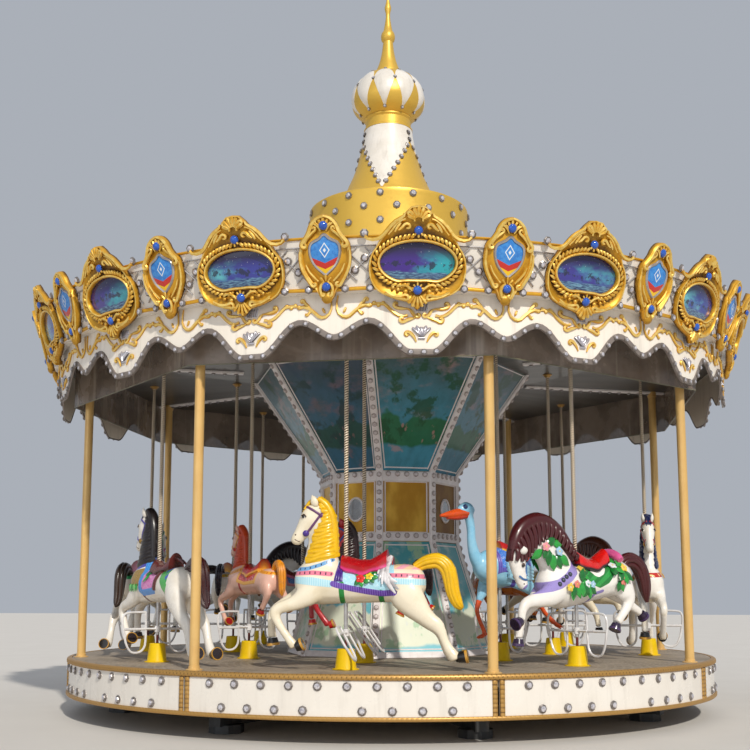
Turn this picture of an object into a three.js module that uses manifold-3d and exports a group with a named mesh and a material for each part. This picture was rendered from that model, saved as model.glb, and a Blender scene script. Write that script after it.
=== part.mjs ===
import * as THREE from "three";
import { mergeVertices } from "three/addons/utils/BufferGeometryUtils.js";
import Module from "manifold-3d";

// Fairground carousel, in millimetres, +Z up, origin on the ground under the axis.
// An azimuth of 0 points along -Y and grows towards +X. Bay centres are at 0, 45, 90 degrees and so on.

const wasm = await Module();
wasm.setup();

// Driving dimensions
const BAYS = 8;
const BAY_ANGLE = 360 / BAYS;
const HALF_BAY = BAY_ANGLE / 2;
const RING_SIDES = 32;
const JOINT_GAP = 0.3;
const DECK_TOP = 540;
const DECK_THICK = 100;
const DECK_RADIUS = 3262;
const SKIRT_FACE = 3288;
const SKIRT_BOTTOM = 190;
const SKIRT_TOP = 497;
const TRIM_FACE = 3310;
const TRIM_TOP = 543;
const TRIM_BAND = 34;
const SEAM_STRIP_WIDTH = 112;
const POST_RADIUS = 42;
const POST_CIRCLE = 3175;
const CEILING_BOTTOM = 3500;
const CEILING_THICK = 30;
const CEILING_RADIUS = 3438.2;
const RAIN_SKIRT_RADIUS = 3332;
const RAIN_SKIRT_THICK = 8;
const RAIN_SKIRT_BOTTOM = 3047;
const VALANCE_INNER = 3438.5;
const VALANCE_OUTER = 3480;
const VALANCE_TOP = 3530;
const ARCH_TOP = 3250;
const BIG_LOBE_BOTTOM = 2998;
const BIG_LOBE_HALF = 6.7;
const SMALL_LOBE_BOTTOM = 3122;
const SMALL_LOBE_HALF = 4.55;
const BIG_LOBE_FLAT = 0.22;
const SCALLOP_TURN = 0.65;
const CROWN_LOW = 3488;
const CROWN_HIGH = 3856;
const CROWN_FOOT_RADIUS = 3545;
const CROWN_HEAD_RADIUS = 3660;
const CROWN_THICK = 50;
const CROWN_INNER_FOOT = 3538;
const ROOF_EAVE = 3850;
const ROOF_HEAD = 4690;
const DOME_RADIUS = 885;
const OUTER_ROW = 2690;
const INNER_ROW = 1720;
const BOOT_HEIGHT = 170;
const BOOT_BASE_RADIUS = 90;
const BOOT_TOP_RADIUS = 72;
const POLE_RADIUS = 17.5;
const POLE_BORE = 26;
const POLE_TOP = 3560;
const POLE_STROKE_UP = 160;
const INNER_SIZE = 0.78;
const INNER_LIFT = 190;
const BODY_SQUEEZE = 0.9;
const HUB_RADIUS = 420;
const SPIGOT_RADIUS = 140;
const SPIGOT_BORE = 147;
const SPIGOT_TOP = 900;
const HUB_TOP = DECK_TOP - DECK_THICK - JOINT_GAP;
const LEG_REACH = 2900;
const FOOT_RADIUS = 150;
const FOOT_CIRCLE = 2740;
const FOOT_HEIGHT = 60;
const CENTRE_BASE_RADIUS = 1080;
const CENTRE_DRUM_RADIUS = 730;
const CENTRE_CONE_RADIUS = 1500;
const CENTRE_DRUM_LOW = 1690;
const CENTRE_DRUM_HIGH = 2415;
const RIB_WIDTH = 74;
const RIB_DEPTH = 34;

const radians = THREE.MathUtils.degToRad;

// Joining and cutting of closed shapes
function solid(geometry) {
  const bare = geometry.clone();
  bare.deleteAttribute("normal");
  bare.deleteAttribute("uv");
  const merged = mergeVertices(bare, 1e-3);
  const mesh = new wasm.Mesh({
    numProp: 3,
    vertProperties: merged.attributes.position.array,
    triVerts: new Uint32Array(merged.index.array),
  });
  return new wasm.Manifold(mesh);
}

function joined(pieces) {
  return pieces.reduce((sum, piece) => sum.add(piece));
}

function toGeometry(shape) {
  const mesh = shape.getMesh();
  const geometry = new THREE.BufferGeometry();
  geometry.setAttribute("position", new THREE.BufferAttribute(mesh.vertProperties, 3));
  geometry.setIndex(new THREE.BufferAttribute(mesh.triVerts, 1));
  const flat = geometry.toNonIndexed();
  flat.computeVertexNormals();
  return flat;
}

// An upright turned shape from a closed profile of [radius, height] pairs, run anticlockwise
function turned(profile, sides, startAngle = 0) {
  const points = profile.map(([radius, height]) => new THREE.Vector2(radius, height));
  const lathe = new THREE.LatheGeometry([...points, points[0]], sides, radians(startAngle));
  return solid(lathe.rotateX(Math.PI / 2));
}

// An upright round or many-sided bar, tapered when its two radii differ
function bar(lowRadius, highRadius, low, high, sides, x = 0, y = 0, turn = 0) {
  const shape = new THREE.CylinderGeometry(highRadius, lowRadius, high - low, sides);
  shape.rotateX(Math.PI / 2);
  shape.rotateZ(radians(turn));
  shape.translate(x, y, (low + high) / 2);
  return solid(shape);
}

function box(width, depth, height, x, y, z) {
  return solid(new THREE.BoxGeometry(width, depth, height).translate(x, y, z));
}

function outline(points) {
  return new THREE.Shape(points.map(([x, y]) => new THREE.Vector2(x, y)));
}

// A flat plate that stands in the plane of X and Z, its thickness along Y
function plate(points, thick, y = 0, holes = []) {
  const shape = outline(points);
  holes.forEach((hole) => shape.holes.push(outline(hole)));
  const board = new THREE.ExtrudeGeometry(shape, { depth: thick, bevelEnabled: false });
  board.translate(0, 0, -thick / 2);
  board.rotateX(Math.PI / 2);
  board.translate(0, y, 0);
  return solid(board);
}

function around(shape, angle) {
  return shape.rotate([0, 0, angle]);
}

function ringOf(shape, count, start) {
  const step = 360 / count;
  return Array.from({ length: count }, (unused, index) => around(shape, start + index * step));
}

function rowPlaces(radius) {
  return Array.from({ length: BAYS }, (unused, bay) => {
    const angle = radians(bay * BAY_ANGLE);
    return [radius * Math.sin(angle), -radius * Math.cos(angle)];
  });
}

const polePlaces = [...rowPlaces(OUTER_ROW), ...rowPlaces(INNER_ROW)];

// Ground frame: hub, eight radial legs on round feet, and the spigot the ride turns on
function groundFrame() {
  const legTop = 200;
  const legWidth = 120;
  const legHeight = legTop - FOOT_HEIGHT;
  const leg = box(legWidth, LEG_REACH, legHeight, 0, -LEG_REACH / 2, (legTop + FOOT_HEIGHT) / 2);
  const foot = bar(FOOT_RADIUS, FOOT_RADIUS, 0, FOOT_HEIGHT + 10, 8, 0, -FOOT_CIRCLE);
  const arm = leg.add(foot);
  const hub = bar(HUB_RADIUS, HUB_RADIUS, 0, HUB_TOP, 12);
  const spigot = bar(SPIGOT_RADIUS, SPIGOT_RADIUS, HUB_TOP - 10, SPIGOT_TOP, 12);
  return joined([hub, spigot, ...ringOf(arm, BAYS, HALF_BAY)]);
}

// Deck: the round floor with a tapered boot around each pole
function deck() {
  const low = DECK_TOP - DECK_THICK;
  const floor = turned([[0, low], [DECK_RADIUS, low], [DECK_RADIUS, DECK_TOP], [0, DECK_TOP]], RING_SIDES);
  const bootTop = DECK_TOP + BOOT_HEIGHT;
  const boots = polePlaces.map(([x, y]) => bar(BOOT_BASE_RADIUS, BOOT_TOP_RADIUS, DECK_TOP - 5, bootTop, 8, x, y));
  const bores = polePlaces.map(([x, y]) => bar(POLE_BORE, POLE_BORE, low - 5, bootTop + 5, 6, x, y));
  const centreBore = bar(SPIGOT_BORE, SPIGOT_BORE, low - 5, DECK_TOP + 5, 12);
  return joined([floor, ...boots]).subtract(joined([...bores, centreBore]));
}

// Skirt panels: the white curved wall that hangs from the deck's rim
function skirtPanels() {
  const inner = DECK_RADIUS + JOINT_GAP;
  const face = SKIRT_FACE;
  return turned([[inner, SKIRT_BOTTOM + 5], [face, SKIRT_BOTTOM + 5], [face, SKIRT_TOP], [inner, SKIRT_TOP]], RING_SIDES);
}

// Skirt trim: gold rails above and below the panels, with a double strip at each seam
function skirtTrim() {
  const inner = DECK_RADIUS + JOINT_GAP;
  const front = SKIRT_FACE + JOINT_GAP;
  const topLow = SKIRT_TOP + JOINT_GAP;
  const top = turned([[inner, topLow], [TRIM_FACE, topLow], [TRIM_FACE, TRIM_TOP], [inner, TRIM_TOP]], RING_SIDES);
  const footHigh = SKIRT_BOTTOM + TRIM_BAND;
  const foot = turned([[front, SKIRT_BOTTOM], [TRIM_FACE, SKIRT_BOTTOM], [TRIM_FACE, footHigh], [front, footHigh]], RING_SIDES);
  const stripHeight = TRIM_TOP - SKIRT_BOTTOM - 10;
  const stripDepth = TRIM_FACE - front - 2;
  const strip = box(SEAM_STRIP_WIDTH, stripDepth, stripHeight, 0, -(front + 1 + stripDepth / 2), SKIRT_BOTTOM + 5 + stripHeight / 2);
  return joined([top, foot, ...ringOf(strip, BAYS, HALF_BAY)]);
}

// One of the eight round posts that carry the canopy, with its floor flange
function post(index) {
  const angle = radians(HALF_BAY + index * BAY_ANGLE);
  const x = POST_CIRCLE * Math.sin(angle);
  const y = -POST_CIRCLE * Math.cos(angle);
  const low = DECK_TOP + JOINT_GAP;
  const flange = bar(72, 66, low, low + 14, 10, x, y);
  const tube = bar(POST_RADIUS, POST_RADIUS, low + 5, CEILING_BOTTOM - JOINT_GAP, 10, x, y);
  return flange.add(tube);
}

// Ceiling: the flat painted boards under the canopy, with a close guide hole for each pole
function ceiling() {
  const high = CEILING_BOTTOM + CEILING_THICK;
  const board = turned([[0, CEILING_BOTTOM], [CEILING_RADIUS, CEILING_BOTTOM], [CEILING_RADIUS, high], [0, high]], RING_SIDES);
  const guide = POLE_RADIUS + 0.4;
  const pair = [OUTER_ROW, INNER_ROW].map((row) => bar(guide, guide, CEILING_BOTTOM - 5, high + 5, 6, 0, -row));
  return board.subtract(joined(ringOf(joined(pair), BAYS, 0)));
}

// Roof: the closed housing over the ceiling that holds the cranks, bored where the poles rise
function roof() {
  const low = CEILING_BOTTOM + CEILING_THICK + JOINT_GAP;
  const eaveRadius = CROWN_HEAD_RADIUS - CROWN_THICK - 3;
  const profile = [[0, low], [VALANCE_OUTER, low], [VALANCE_OUTER, CROWN_INNER_FOOT], [eaveRadius, ROOF_EAVE],
    [DOME_RADIUS + 40, ROOF_HEAD], [0, ROOF_HEAD]];
  const housing = turned(profile, RING_SIDES);
  const boreTop = POLE_TOP + POLE_STROKE_UP + 20;
  const bores = polePlaces.map(([x, y]) => bar(POLE_BORE, POLE_BORE, low - 5, boreTop, 6, x, y));
  return housing.subtract(joined(bores));
}

// Rain skirt: the smoky plastic band behind the valance, straight between the posts
function rainSkirt() {
  const high = CEILING_BOTTOM - JOINT_GAP;
  const inner = RAIN_SKIRT_RADIUS - RAIN_SKIRT_THICK;
  const profile = [[inner, RAIN_SKIRT_BOTTOM], [RAIN_SKIRT_RADIUS, RAIN_SKIRT_BOTTOM], [RAIN_SKIRT_RADIUS, high], [inner, high]];
  return around(turned(profile, BAYS), HALF_BAY);
}

// Height of the valance's lower edge at an angle from the middle of a small lobe
function valanceEdge(angle) {
  const toBig = Math.abs(angle - HALF_BAY / 2);
  const big = toBig < BIG_LOBE_HALF;
  const share = big ? toBig / BIG_LOBE_HALF : (HALF_BAY / 2 - toBig) / SMALL_LOBE_HALF;
  const drop = ARCH_TOP - (big ? BIG_LOBE_BOTTOM : SMALL_LOBE_BOTTOM);
  return ARCH_TOP - drop * (1 - THREE.MathUtils.smoothstep(share, big ? BIG_LOBE_FLAT : 0, 1));
}

// Valance: the scalloped wall under the crown
function valance() {
  const low = BIG_LOBE_BOTTOM;
  const wall = turned([[VALANCE_INNER, low], [VALANCE_OUTER, low], [VALANCE_OUTER, VALANCE_TOP], [VALANCE_INNER, VALANCE_TOP]], RING_SIDES);
  const steps = 8;
  const middle = (VALANCE_INNER + VALANCE_OUTER) / 2;
  const wave = Array.from({ length: steps + 1 }, (unused, step) => {
    const angle = (HALF_BAY * step) / steps;
    const offset = radians(angle - HALF_BAY / 2);
    return [middle * Math.sin(offset), valanceEdge(angle) + 0.01];
  });
  const reach = wave[steps][0];
  const cutter = plate([[-reach, low - 60], [reach, low - 60], ...wave.reverse()], 140, -middle);
  return wall.subtract(joined(ringOf(cutter, 2 * BAYS, HALF_BAY / 2 + SCALLOP_TURN)));
}

// Crown wall: the white wall that leans outward all round the canopy
function crownWall() {
  const profile = [
    [VALANCE_OUTER + JOINT_GAP, CROWN_LOW],
    [CROWN_FOOT_RADIUS + 22, CROWN_LOW],
    [CROWN_FOOT_RADIUS + 22, CROWN_LOW + 30],
    [CROWN_FOOT_RADIUS + 10, CROWN_LOW + 32],
    [CROWN_HEAD_RADIUS, CROWN_HIGH],
    [CROWN_HEAD_RADIUS - CROWN_THICK, CROWN_HIGH],
    [VALANCE_OUTER + JOINT_GAP, CROWN_INNER_FOOT],
  ];
  return turned(profile, RING_SIDES);
}

// Carries a plate drawn about [0, 0] onto the crown's leaning face at the given height
function onCrown(points, thick, height, stand, holes = []) {
  const lean = Math.atan((CROWN_HEAD_RADIUS - CROWN_FOOT_RADIUS) / (CROWN_HIGH - CROWN_LOW));
  const radius = CROWN_FOOT_RADIUS + Math.tan(lean) * (height - CROWN_LOW);
  const board = plate(points, thick, -(thick / 2 + stand), holes);
  return board.rotate([THREE.MathUtils.radToDeg(lean), 0, 0]).translate([0, -radius, height]);
}

function oval(halfWidth, halfHeight, count) {
  return Array.from({ length: count }, (unused, index) => {
    const angle = (2 * Math.PI * index) / count;
    return [halfWidth * Math.cos(angle), halfHeight * Math.sin(angle)];
  });
}

// Crown trim: the gold top rail joined to the sixteen oval frames and sixteen shields
function crownTrim() {
  const face = 26;
  const railBottom = CROWN_HIGH + JOINT_GAP;
  const topRail = turned([[CROWN_HEAD_RADIUS - CROWN_THICK, railBottom], [CROWN_HEAD_RADIUS + 34, railBottom],
    [CROWN_HEAD_RADIUS + 38, railBottom + 30], [CROWN_HEAD_RADIUS - CROWN_THICK, railBottom + 30]], RING_SIDES);
  const ovalHeight = 3678;
  const frameOutline = [
    [0, -345], [100, -228], [270, -200], [370, 0], [270, 195], [140, 250], [80, 395], [0, 412],
    [-80, 395], [-140, 250], [-270, 195], [-370, 0], [-270, -200], [-100, -228],
  ];
  const frame = onCrown(frameOutline, 70, ovalHeight, face, [oval(284, 154, 8)]);
  const shieldHeight = 3756;
  const shieldOutline = [
    [0, -350], [90, -250], [195, -140], [195, 110], [100, 220], [0, 310],
    [-100, 220], [-195, 110], [-195, -140], [-90, -250],
  ];
  const shield = onCrown(shieldOutline, 60, shieldHeight, face);
  return joined([
    topRail,
    ...ringOf(frame, 2 * BAYS, HALF_BAY / 2),
    ...ringOf(shield, 2 * BAYS, 0),
  ]);
}

// Centre housing, lower part: a closed eight-sided cone on the deck, bored for the spigot
function centreBase() {
  const low = DECK_TOP + JOINT_GAP;
  const housing = bar(CENTRE_BASE_RADIUS, CENTRE_DRUM_RADIUS, low, CENTRE_DRUM_LOW, BAYS);
  return housing.subtract(bar(SPIGOT_BORE, SPIGOT_BORE, low - 5, SPIGOT_TOP + 8, 12));
}

// Centre drum: the upright eight-sided part with the amber mirrors
function centreDrum() {
  return bar(CENTRE_DRUM_RADIUS, CENTRE_DRUM_RADIUS, CENTRE_DRUM_LOW + JOINT_GAP, CENTRE_DRUM_HIGH, BAYS);
}

// Centre cone: the eight-sided part that widens up to the ceiling
function centreCone() {
  const low = CENTRE_DRUM_HIGH + JOINT_GAP;
  return bar(CENTRE_DRUM_RADIUS, CENTRE_CONE_RADIUS, low, CEILING_BOTTOM - JOINT_GAP, BAYS);
}

function octagonBand(inner, outer, low, high) {
  return turned([[inner, low], [outer, low], [outer, high], [inner, high]], BAYS);
}

// Centre ribs: silver ribs up the corners, joined by two belts and a foot band
function centreRibs() {
  const gap = 0.5;
  const low = DECK_TOP + JOINT_GAP;
  const high = CEILING_BOTTOM - JOINT_GAP;
  const foot = CENTRE_BASE_RADIUS + gap;
  const waist = CENTRE_DRUM_RADIUS + gap;
  const head = CENTRE_CONE_RADIUS + gap;
  const depth = RIB_DEPTH;
  const side = [
    [foot, low], [foot + depth, low], [waist + depth, CENTRE_DRUM_LOW], [waist + depth, CENTRE_DRUM_HIGH],
    [head + depth, high], [head, high], [waist, CENTRE_DRUM_HIGH], [waist, CENTRE_DRUM_LOW],
  ];
  const rib = around(plate(side, RIB_WIDTH), -90);
  const lowBelt = octagonBand(waist, waist + 26, CENTRE_DRUM_LOW + 5, CENTRE_DRUM_LOW + 93);
  const highBelt = octagonBand(waist, waist + 26, CENTRE_DRUM_HIGH - 111, CENTRE_DRUM_HIGH - 5);
  const footBand = octagonBand(foot, foot + 24, low, low + 62);
  return joined([lowBelt, highBelt, footBand, ...ringOf(rib, BAYS, 0)]);
}

// Dome drum: the round gold tower foot on the roof
function domeDrum() {
  const low = ROOF_HEAD + JOINT_GAP;
  const high = 5390;
  const profile = [[0, low], [DOME_RADIUS + 20, low], [DOME_RADIUS + 20, low + 50], [DOME_RADIUS - 10, low + 70],
    [DOME_RADIUS - 10, high - 90], [DOME_RADIUS + 15, high - 60], [DOME_RADIUS + 5, high - 15], [620, high], [0, high]];
  return turned(profile, 16);
}

// Dome cone: the hollow-sided gold cone above the drum
function domeCone() {
  const profile = [[0, 5390 + JOINT_GAP], [600, 5390 + JOINT_GAP], [515, 5540], [441, 5706], [346, 5960], [282, 6247],
    [268, 6349], [0, 6349]];
  return turned(profile, 16);
}

// Neck band: the plain gold ring under the onion
function neckBand() {
  const low = 6349 + JOINT_GAP;
  return turned([[0, low], [275, low], [275, low + 18], [255, low + 24], [255, 6470], [272, 6478], [272, 6492], [0, 6492]], 16);
}

// Onion: the petalled bulb
function onion() {
  const low = 6492 + JOINT_GAP;
  return turned([[0, low], [268, low], [370, 6582], [412, 6690], [381, 6847], [280, 6987], [180, 7032], [0, 7032]], 16);
}

// Spire: the turned finial at the top
function spire() {
  const low = 7032 + JOINT_GAP;
  return turned([[0, low], [150, low], [135, 7090], [87, 7230], [56, 7440], [80, 7480], [80, 7540], [51, 7580],
    [31, 7696], [24, 7760], [37, 7859], [22, 7930], [10, 8140], [0, 8140]], 10);
}

// Outlines of the riding figures, as [forward, height above the deck] measured from the pole
const HIGH_NECK = [
  [434, 680], [425, 790], [342, 1030], [403, 1018], [465, 1104], [385, 1288], [300, 1385], [274, 1417],
  [213, 1380], [84, 1251], [52, 1000], [60, 760], [200, 640],
];
const LOW_NECK = [
  [470, 690], [420, 640], [520, 600], [600, 720], [640, 900], [640, 1060], [560, 1200],
  [430, 1290], [280, 1290], [140, 1190], [60, 1040], [20, 900], [60, 720], [330, 620],
];
const HIGH_TAIL = [
  [-560, 800], [-752, 932], [-887, 882], [-980, 514], [-863, 514], [-801, 686], [-640, 740],
];
const DROOPING_TAIL = [
  [-560, 820], [-690, 890], [-770, 760], [-790, 560], [-730, 520], [-600, 760],
];
const STRETCHED_HIND = [
  [-380, 620], [-640, 560], [-826, 391], [-1023, 100], [-1010, 62], [-900, 70], [-691, 354], [-480, 480],
];
const FOLDED_FORE = [
  [400, 720], [600, 480], [460, 270], [395, 180], [330, 190], [480, 430], [250, 540],
];
const LIFTED_HIND = [
  [-380, 620], [-640, 600], [-700, 430], [-420, 270], [-400, 320], [-540, 420], [-440, 520],
];
const REACHING_FORE = [
  [400, 720], [690, 500], [640, 330], [700, 270], [640, 230], [560, 300], [580, 430], [250, 540],
];

// Turns an outline's forward direction to -X, at the figure's size and height
function facing(points, size = 1, lift = 0) {
  return points.map(([forward, height]) => [-forward * size, DECK_TOP + height * size + lift]);
}

// A rounded body whose length lies along X
function barrel(profile, centreHeight, size) {
  const points = profile.map(([along, radius]) => new THREE.Vector2(radius * size, along * size));
  const shape = new THREE.LatheGeometry(points, 6);
  shape.rotateZ(Math.PI / 2);
  shape.scale(1, BODY_SQUEEZE, 1);
  shape.translate(0, 0, DECK_TOP + centreHeight);
  return solid(shape);
}

// Pole, sliding tube, lower rod and the cross bar that carries the foot rests
function poleSet() {
  const low = DECK_TOP - 60;
  const tubeLow = DECK_TOP + 244;
  const stem = turned([[0, low], [12, low], [12, tubeLow], [POLE_RADIUS, tubeLow], [POLE_RADIUS, POLE_TOP], [0, POLE_TOP]], 6);
  const rests = [[-146, 110], [-130, 110], [-130, 285], [130, 285], [130, 110], [146, 110],
    [146, 459], [130, 459], [130, 315], [-130, 315], [-130, 459], [-146, 459]];
  const restPlate = around(plate(rests.map(([across, height]) => [across, DECK_TOP + height]), 16), 90);
  return stem.add(restPlate);
}

function horse(neck, tail, hind, fore, size = 1, lift = 0) {
  const trunk = [[-690, 0], [-620, 130], [-450, 182], [-50, 164], [300, 190], [440, 0]];
  const saddle = [[20, 840], [10, 956], [-113, 890], [-353, 956], [-385, 840]];
  const centreHeight = 695 * size + lift;
  const side = (points, thick, offset = 0) => plate(facing(points, size, lift), thick * size, offset * size);
  return joined([
    barrel(trunk, centreHeight, size),
    side(neck, 170),
    side(tail, 90),
    side(hind, 76, -98),
    side(hind, 76, 98),
    side(fore, 70, -92),
    side(fore, 70, 92),
    side(saddle, 230),
    poleSet(),
  ]);
}

function ostrich() {
  const trunk = [[-430, 0], [-390, 90], [-200, 190], [50, 200], [220, 140], [300, 0]];
  const neck = [
    [190, 760], [330, 900], [330, 1180], [380, 1330], [420, 1400], [640, 1420], [640, 1450], [430, 1500], [360, 1530],
    [270, 1490], [230, 1380], [200, 1180], [190, 960], [60, 900],
  ];
  const tail = [[-300, 800], [-360, 960], [-520, 1080], [-600, 1020], [-560, 900], [-480, 780]];
  const leg = [[60, 740], [-120, 740], [-60, 560], [60, 420], [-60, 250], [60, 215], [80, 260], [160, 430], [40, 580]];
  const pieces = [
    barrel(trunk, 870, 1),
    plate(facing(neck), 110),
    plate(facing(tail), 180),
    plate(facing(leg), 56, -80),
    plate(facing(leg), 56, 80),
    poleSet(),
  ];
  return joined(pieces);
}

// Each animal's place: row radius, bay, name, colour and outlines
const gallop = () => horse(HIGH_NECK, HIGH_TAIL, STRETCHED_HIND, FOLDED_FORE);
const prance = () => horse(LOW_NECK, DROOPING_TAIL, LIFTED_HIND, REACHING_FORE);
const trot = () => horse(HIGH_NECK, DROOPING_TAIL, LIFTED_HIND, FOLDED_FORE, INNER_SIZE, INNER_LIFT);
const ANIMALS = [
  ["horse_outer_1", OUTER_ROW, 0, 0xe8dcb8, gallop],
  ["horse_outer_2", OUTER_ROW, 1, 0xf0ece4, prance],
  ["horse_outer_3", OUTER_ROW, 2, 0xeeeae2, gallop],
  ["horse_outer_4", OUTER_ROW, 3, 0xe8dcb8, prance],
  ["horse_outer_5", OUTER_ROW, 4, 0xf0ece4, gallop],
  ["horse_outer_6", OUTER_ROW, 5, 0xe8e0d2, prance],
  ["horse_outer_7", OUTER_ROW, 6, 0xeeeae2, gallop],
  ["horse_outer_8", OUTER_ROW, 7, 0xefe9da, gallop],
  ["horse_inner_1", INNER_ROW, 0, 0xb02a2a, trot],
  ["ostrich", INNER_ROW, 1, 0x8cc8e8, ostrich],
  ["horse_inner_3", INNER_ROW, 2, 0xf0ece4, trot],
  ["deer", INNER_ROW, 3, 0xc8742c, trot],
  ["horse_inner_5", INNER_ROW, 4, 0xe8dcb8, trot],
  ["horse_inner_6", INNER_ROW, 5, 0xeeeae2, trot],
  ["horse_inner_7", INNER_ROW, 6, 0xf0ece4, trot],
  ["horse_inner_8", INNER_ROW, 7, 0xe6b49c, trot],
];

const group = new THREE.Group();

function addPiece(name, shape, colour, roughness, metalness, more = {}) {
  const material = new THREE.MeshStandardMaterial({ color: colour, roughness, metalness, ...more });
  const mesh = new THREE.Mesh(toGeometry(shape), material);
  mesh.name = name;
  group.add(mesh);
}

addPiece("ground_frame", groundFrame(), 0x4a4d50, 0.6, 0.6);
addPiece("deck", deck(), 0x77787a, 0.7, 0.3);
addPiece("skirt_panels", skirtPanels(), 0xe8e6e2, 0.35, 0);
addPiece("skirt_trim", skirtTrim(), 0xb98b3e, 0.4, 0.5);
for (let index = 0; index < BAYS; index += 1) {
  addPiece("post_" + (index + 1), post(index), 0xd8b46a, 0.35, 0.4);
}
addPiece("ceiling", ceiling(), 0x4c6a80, 0.5, 0);
addPiece("roof", roof(), 0xc9c4bb, 0.5, 0);
addPiece("rain_skirt", rainSkirt(), 0x8d8378, 0.2, 0, { transparent: true, opacity: 0.5 });
addPiece("valance", valance(), 0xe9e4de, 0.4, 0);
addPiece("crown_wall", crownWall(), 0xeae7e2, 0.4, 0);
addPiece("crown_trim", crownTrim(), 0xc39a3a, 0.35, 0.6);
addPiece("centre_base", centreBase(), 0x8fb8c4, 0.5, 0);
addPiece("centre_drum", centreDrum(), 0xb98a2e, 0.2, 0.7);
addPiece("centre_cone", centreCone(), 0x2d5d7c, 0.5, 0);
addPiece("centre_ribs", centreRibs(), 0xc8c4c4, 0.4, 0.4);
addPiece("dome_drum", domeDrum(), 0xc8952c, 0.35, 0.6);
addPiece("dome_cone", domeCone(), 0xc8952c, 0.35, 0.6);
addPiece("neck_band", neckBand(), 0xd0a030, 0.35, 0.6);
addPiece("onion", onion(), 0xe2dccb, 0.35, 0.2);
addPiece("spire", spire(), 0xd2a132, 0.3, 0.7);
for (const [name, row, bay, colour, make] of ANIMALS) {
  const figure = around(make().translate([0, -row, 0]), bay * BAY_ANGLE);
  addPiece(name, figure, colour, 0.3, 0);
}

export default group;
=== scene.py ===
"""Looks of the fairground carousel, in metres, +Z up. Azimuth 0 points along -Y and grows towards +X."""
import math

import bmesh
import bpy
import numpy as np
from bpy.props import FloatProperty, FloatVectorProperty, IntProperty, PointerProperty
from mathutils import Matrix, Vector


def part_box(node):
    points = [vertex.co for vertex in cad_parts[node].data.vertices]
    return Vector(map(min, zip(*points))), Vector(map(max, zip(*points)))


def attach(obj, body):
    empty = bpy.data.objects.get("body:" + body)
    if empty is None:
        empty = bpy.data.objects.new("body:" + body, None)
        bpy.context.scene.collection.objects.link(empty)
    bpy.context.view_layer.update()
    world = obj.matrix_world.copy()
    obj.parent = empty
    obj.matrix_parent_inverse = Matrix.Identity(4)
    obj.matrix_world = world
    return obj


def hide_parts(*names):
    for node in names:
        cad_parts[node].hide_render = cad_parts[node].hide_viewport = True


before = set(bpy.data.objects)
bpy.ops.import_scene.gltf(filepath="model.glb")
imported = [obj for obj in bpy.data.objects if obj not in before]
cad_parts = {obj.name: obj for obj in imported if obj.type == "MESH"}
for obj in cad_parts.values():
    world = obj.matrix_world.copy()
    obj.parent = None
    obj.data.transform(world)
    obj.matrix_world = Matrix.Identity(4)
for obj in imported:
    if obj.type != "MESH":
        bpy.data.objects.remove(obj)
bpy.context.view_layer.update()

bl_info = {
    "name": "Fairground Carousel",
    "version": (1, 0, 0),
    "blender": (4, 5, 0),
    "location": "View3D > Sidebar > Carousel",
    "description": "Builds the visible pieces of a sixteen seat fairground carousel",
    "category": "Object",
}

TURN = 2 * math.pi
BAYS = 8
BAY = TURN / BAYS
HALF_BAY = BAY / 2
OVAL_START = HALF_BAY / 2
CAROUSEL = "carousel"

# Heights, radii and angles of the frame, in metres and radians, and the size and lift of the inner animals
DECK_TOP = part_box("post_1")[0].z - 0.0003
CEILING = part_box("ceiling")[0].z
CROWN_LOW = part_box("crown_wall")[0].z
CROWN_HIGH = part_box("crown_wall")[1].z
CROWN_FOOT_RADIUS = 3.545
CROWN_HEAD_RADIUS = 3.660
CROWN_SLOPE = (CROWN_HEAD_RADIUS - CROWN_FOOT_RADIUS) / (CROWN_HIGH - CROWN_LOW)
CROWN_LEAN = math.atan(CROWN_SLOPE)
OVAL_HEIGHT = 3.678
SHIELD_HEIGHT = 3.756
VALANCE_RADIUS = 3.480
ARCH_TOP = 3.250
BIG_LOBE_LOW = 2.998
SMALL_LOBE_LOW = 3.122
BIG_LOBE_HALF = math.radians(6.7)
BIG_LOBE_FLAT = 0.22
SCALLOP_TURN = math.radians(0.65)
BORDER = 0.048
SMALL_LOBE_HALF = HALF_BAY / 2 - BIG_LOBE_HALF
BASE_RADIUS = 1.080
DRUM_RADIUS = 0.730
DRUM_LOW = 1.690
DRUM_HIGH = 2.415
OUTER_ROW = 2.690
INNER_ROW = 1.720
INNER_SIZE = 0.78
INNER_LIFT = 0.190

# Azimuths of the bays' middles, of the seams and posts between them, and of the sixteen crown ornaments of
# a kind
AT_BAYS = np.arange(BAYS) * BAY
AT_SEAMS = (np.arange(BAYS) + 0.5) * BAY
AT_HALVES = np.arange(16) * HALF_BAY


def shade(paint):
    """A paint colour from six hexadecimal digits, made linear; a linear colour stays as it is."""
    if not isinstance(paint, str):
        return paint
    value = np.array([int(paint[i:i + 2], 16) for i in (0, 2, 4)]) / 255
    return tuple(np.where(value <= 0.04045, value / 12.92, ((value + 0.055) / 1.055) ** 2.4))


# Shapes


class Shape:
    """Points with quads and triangles on them, and named values (marks) kept at each point."""

    def __init__(self, points, quads=(), tris=(), **marks):
        self.points = np.asarray(points, float).reshape(-1, 3)
        self.quads = np.asarray(quads, np.int64).reshape(-1, 4)
        self.tris = np.asarray(tris, np.int64).reshape(-1, 3)
        self.marks = {k: np.resize(np.asarray(v, float), len(self.points)) for k, v in marks.items()}

    def mark(self, **marks):
        """Keeps these values at the points, one for all or one for each."""
        self.marks.update({k: np.resize(np.asarray(v, float), len(self.points)) for k, v in marks.items()})
        return self

    def at(self, points):
        """The same faces on other points."""
        made = Shape(points, self.quads, self.tris)
        made.marks = dict(self.marks)
        return made


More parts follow.
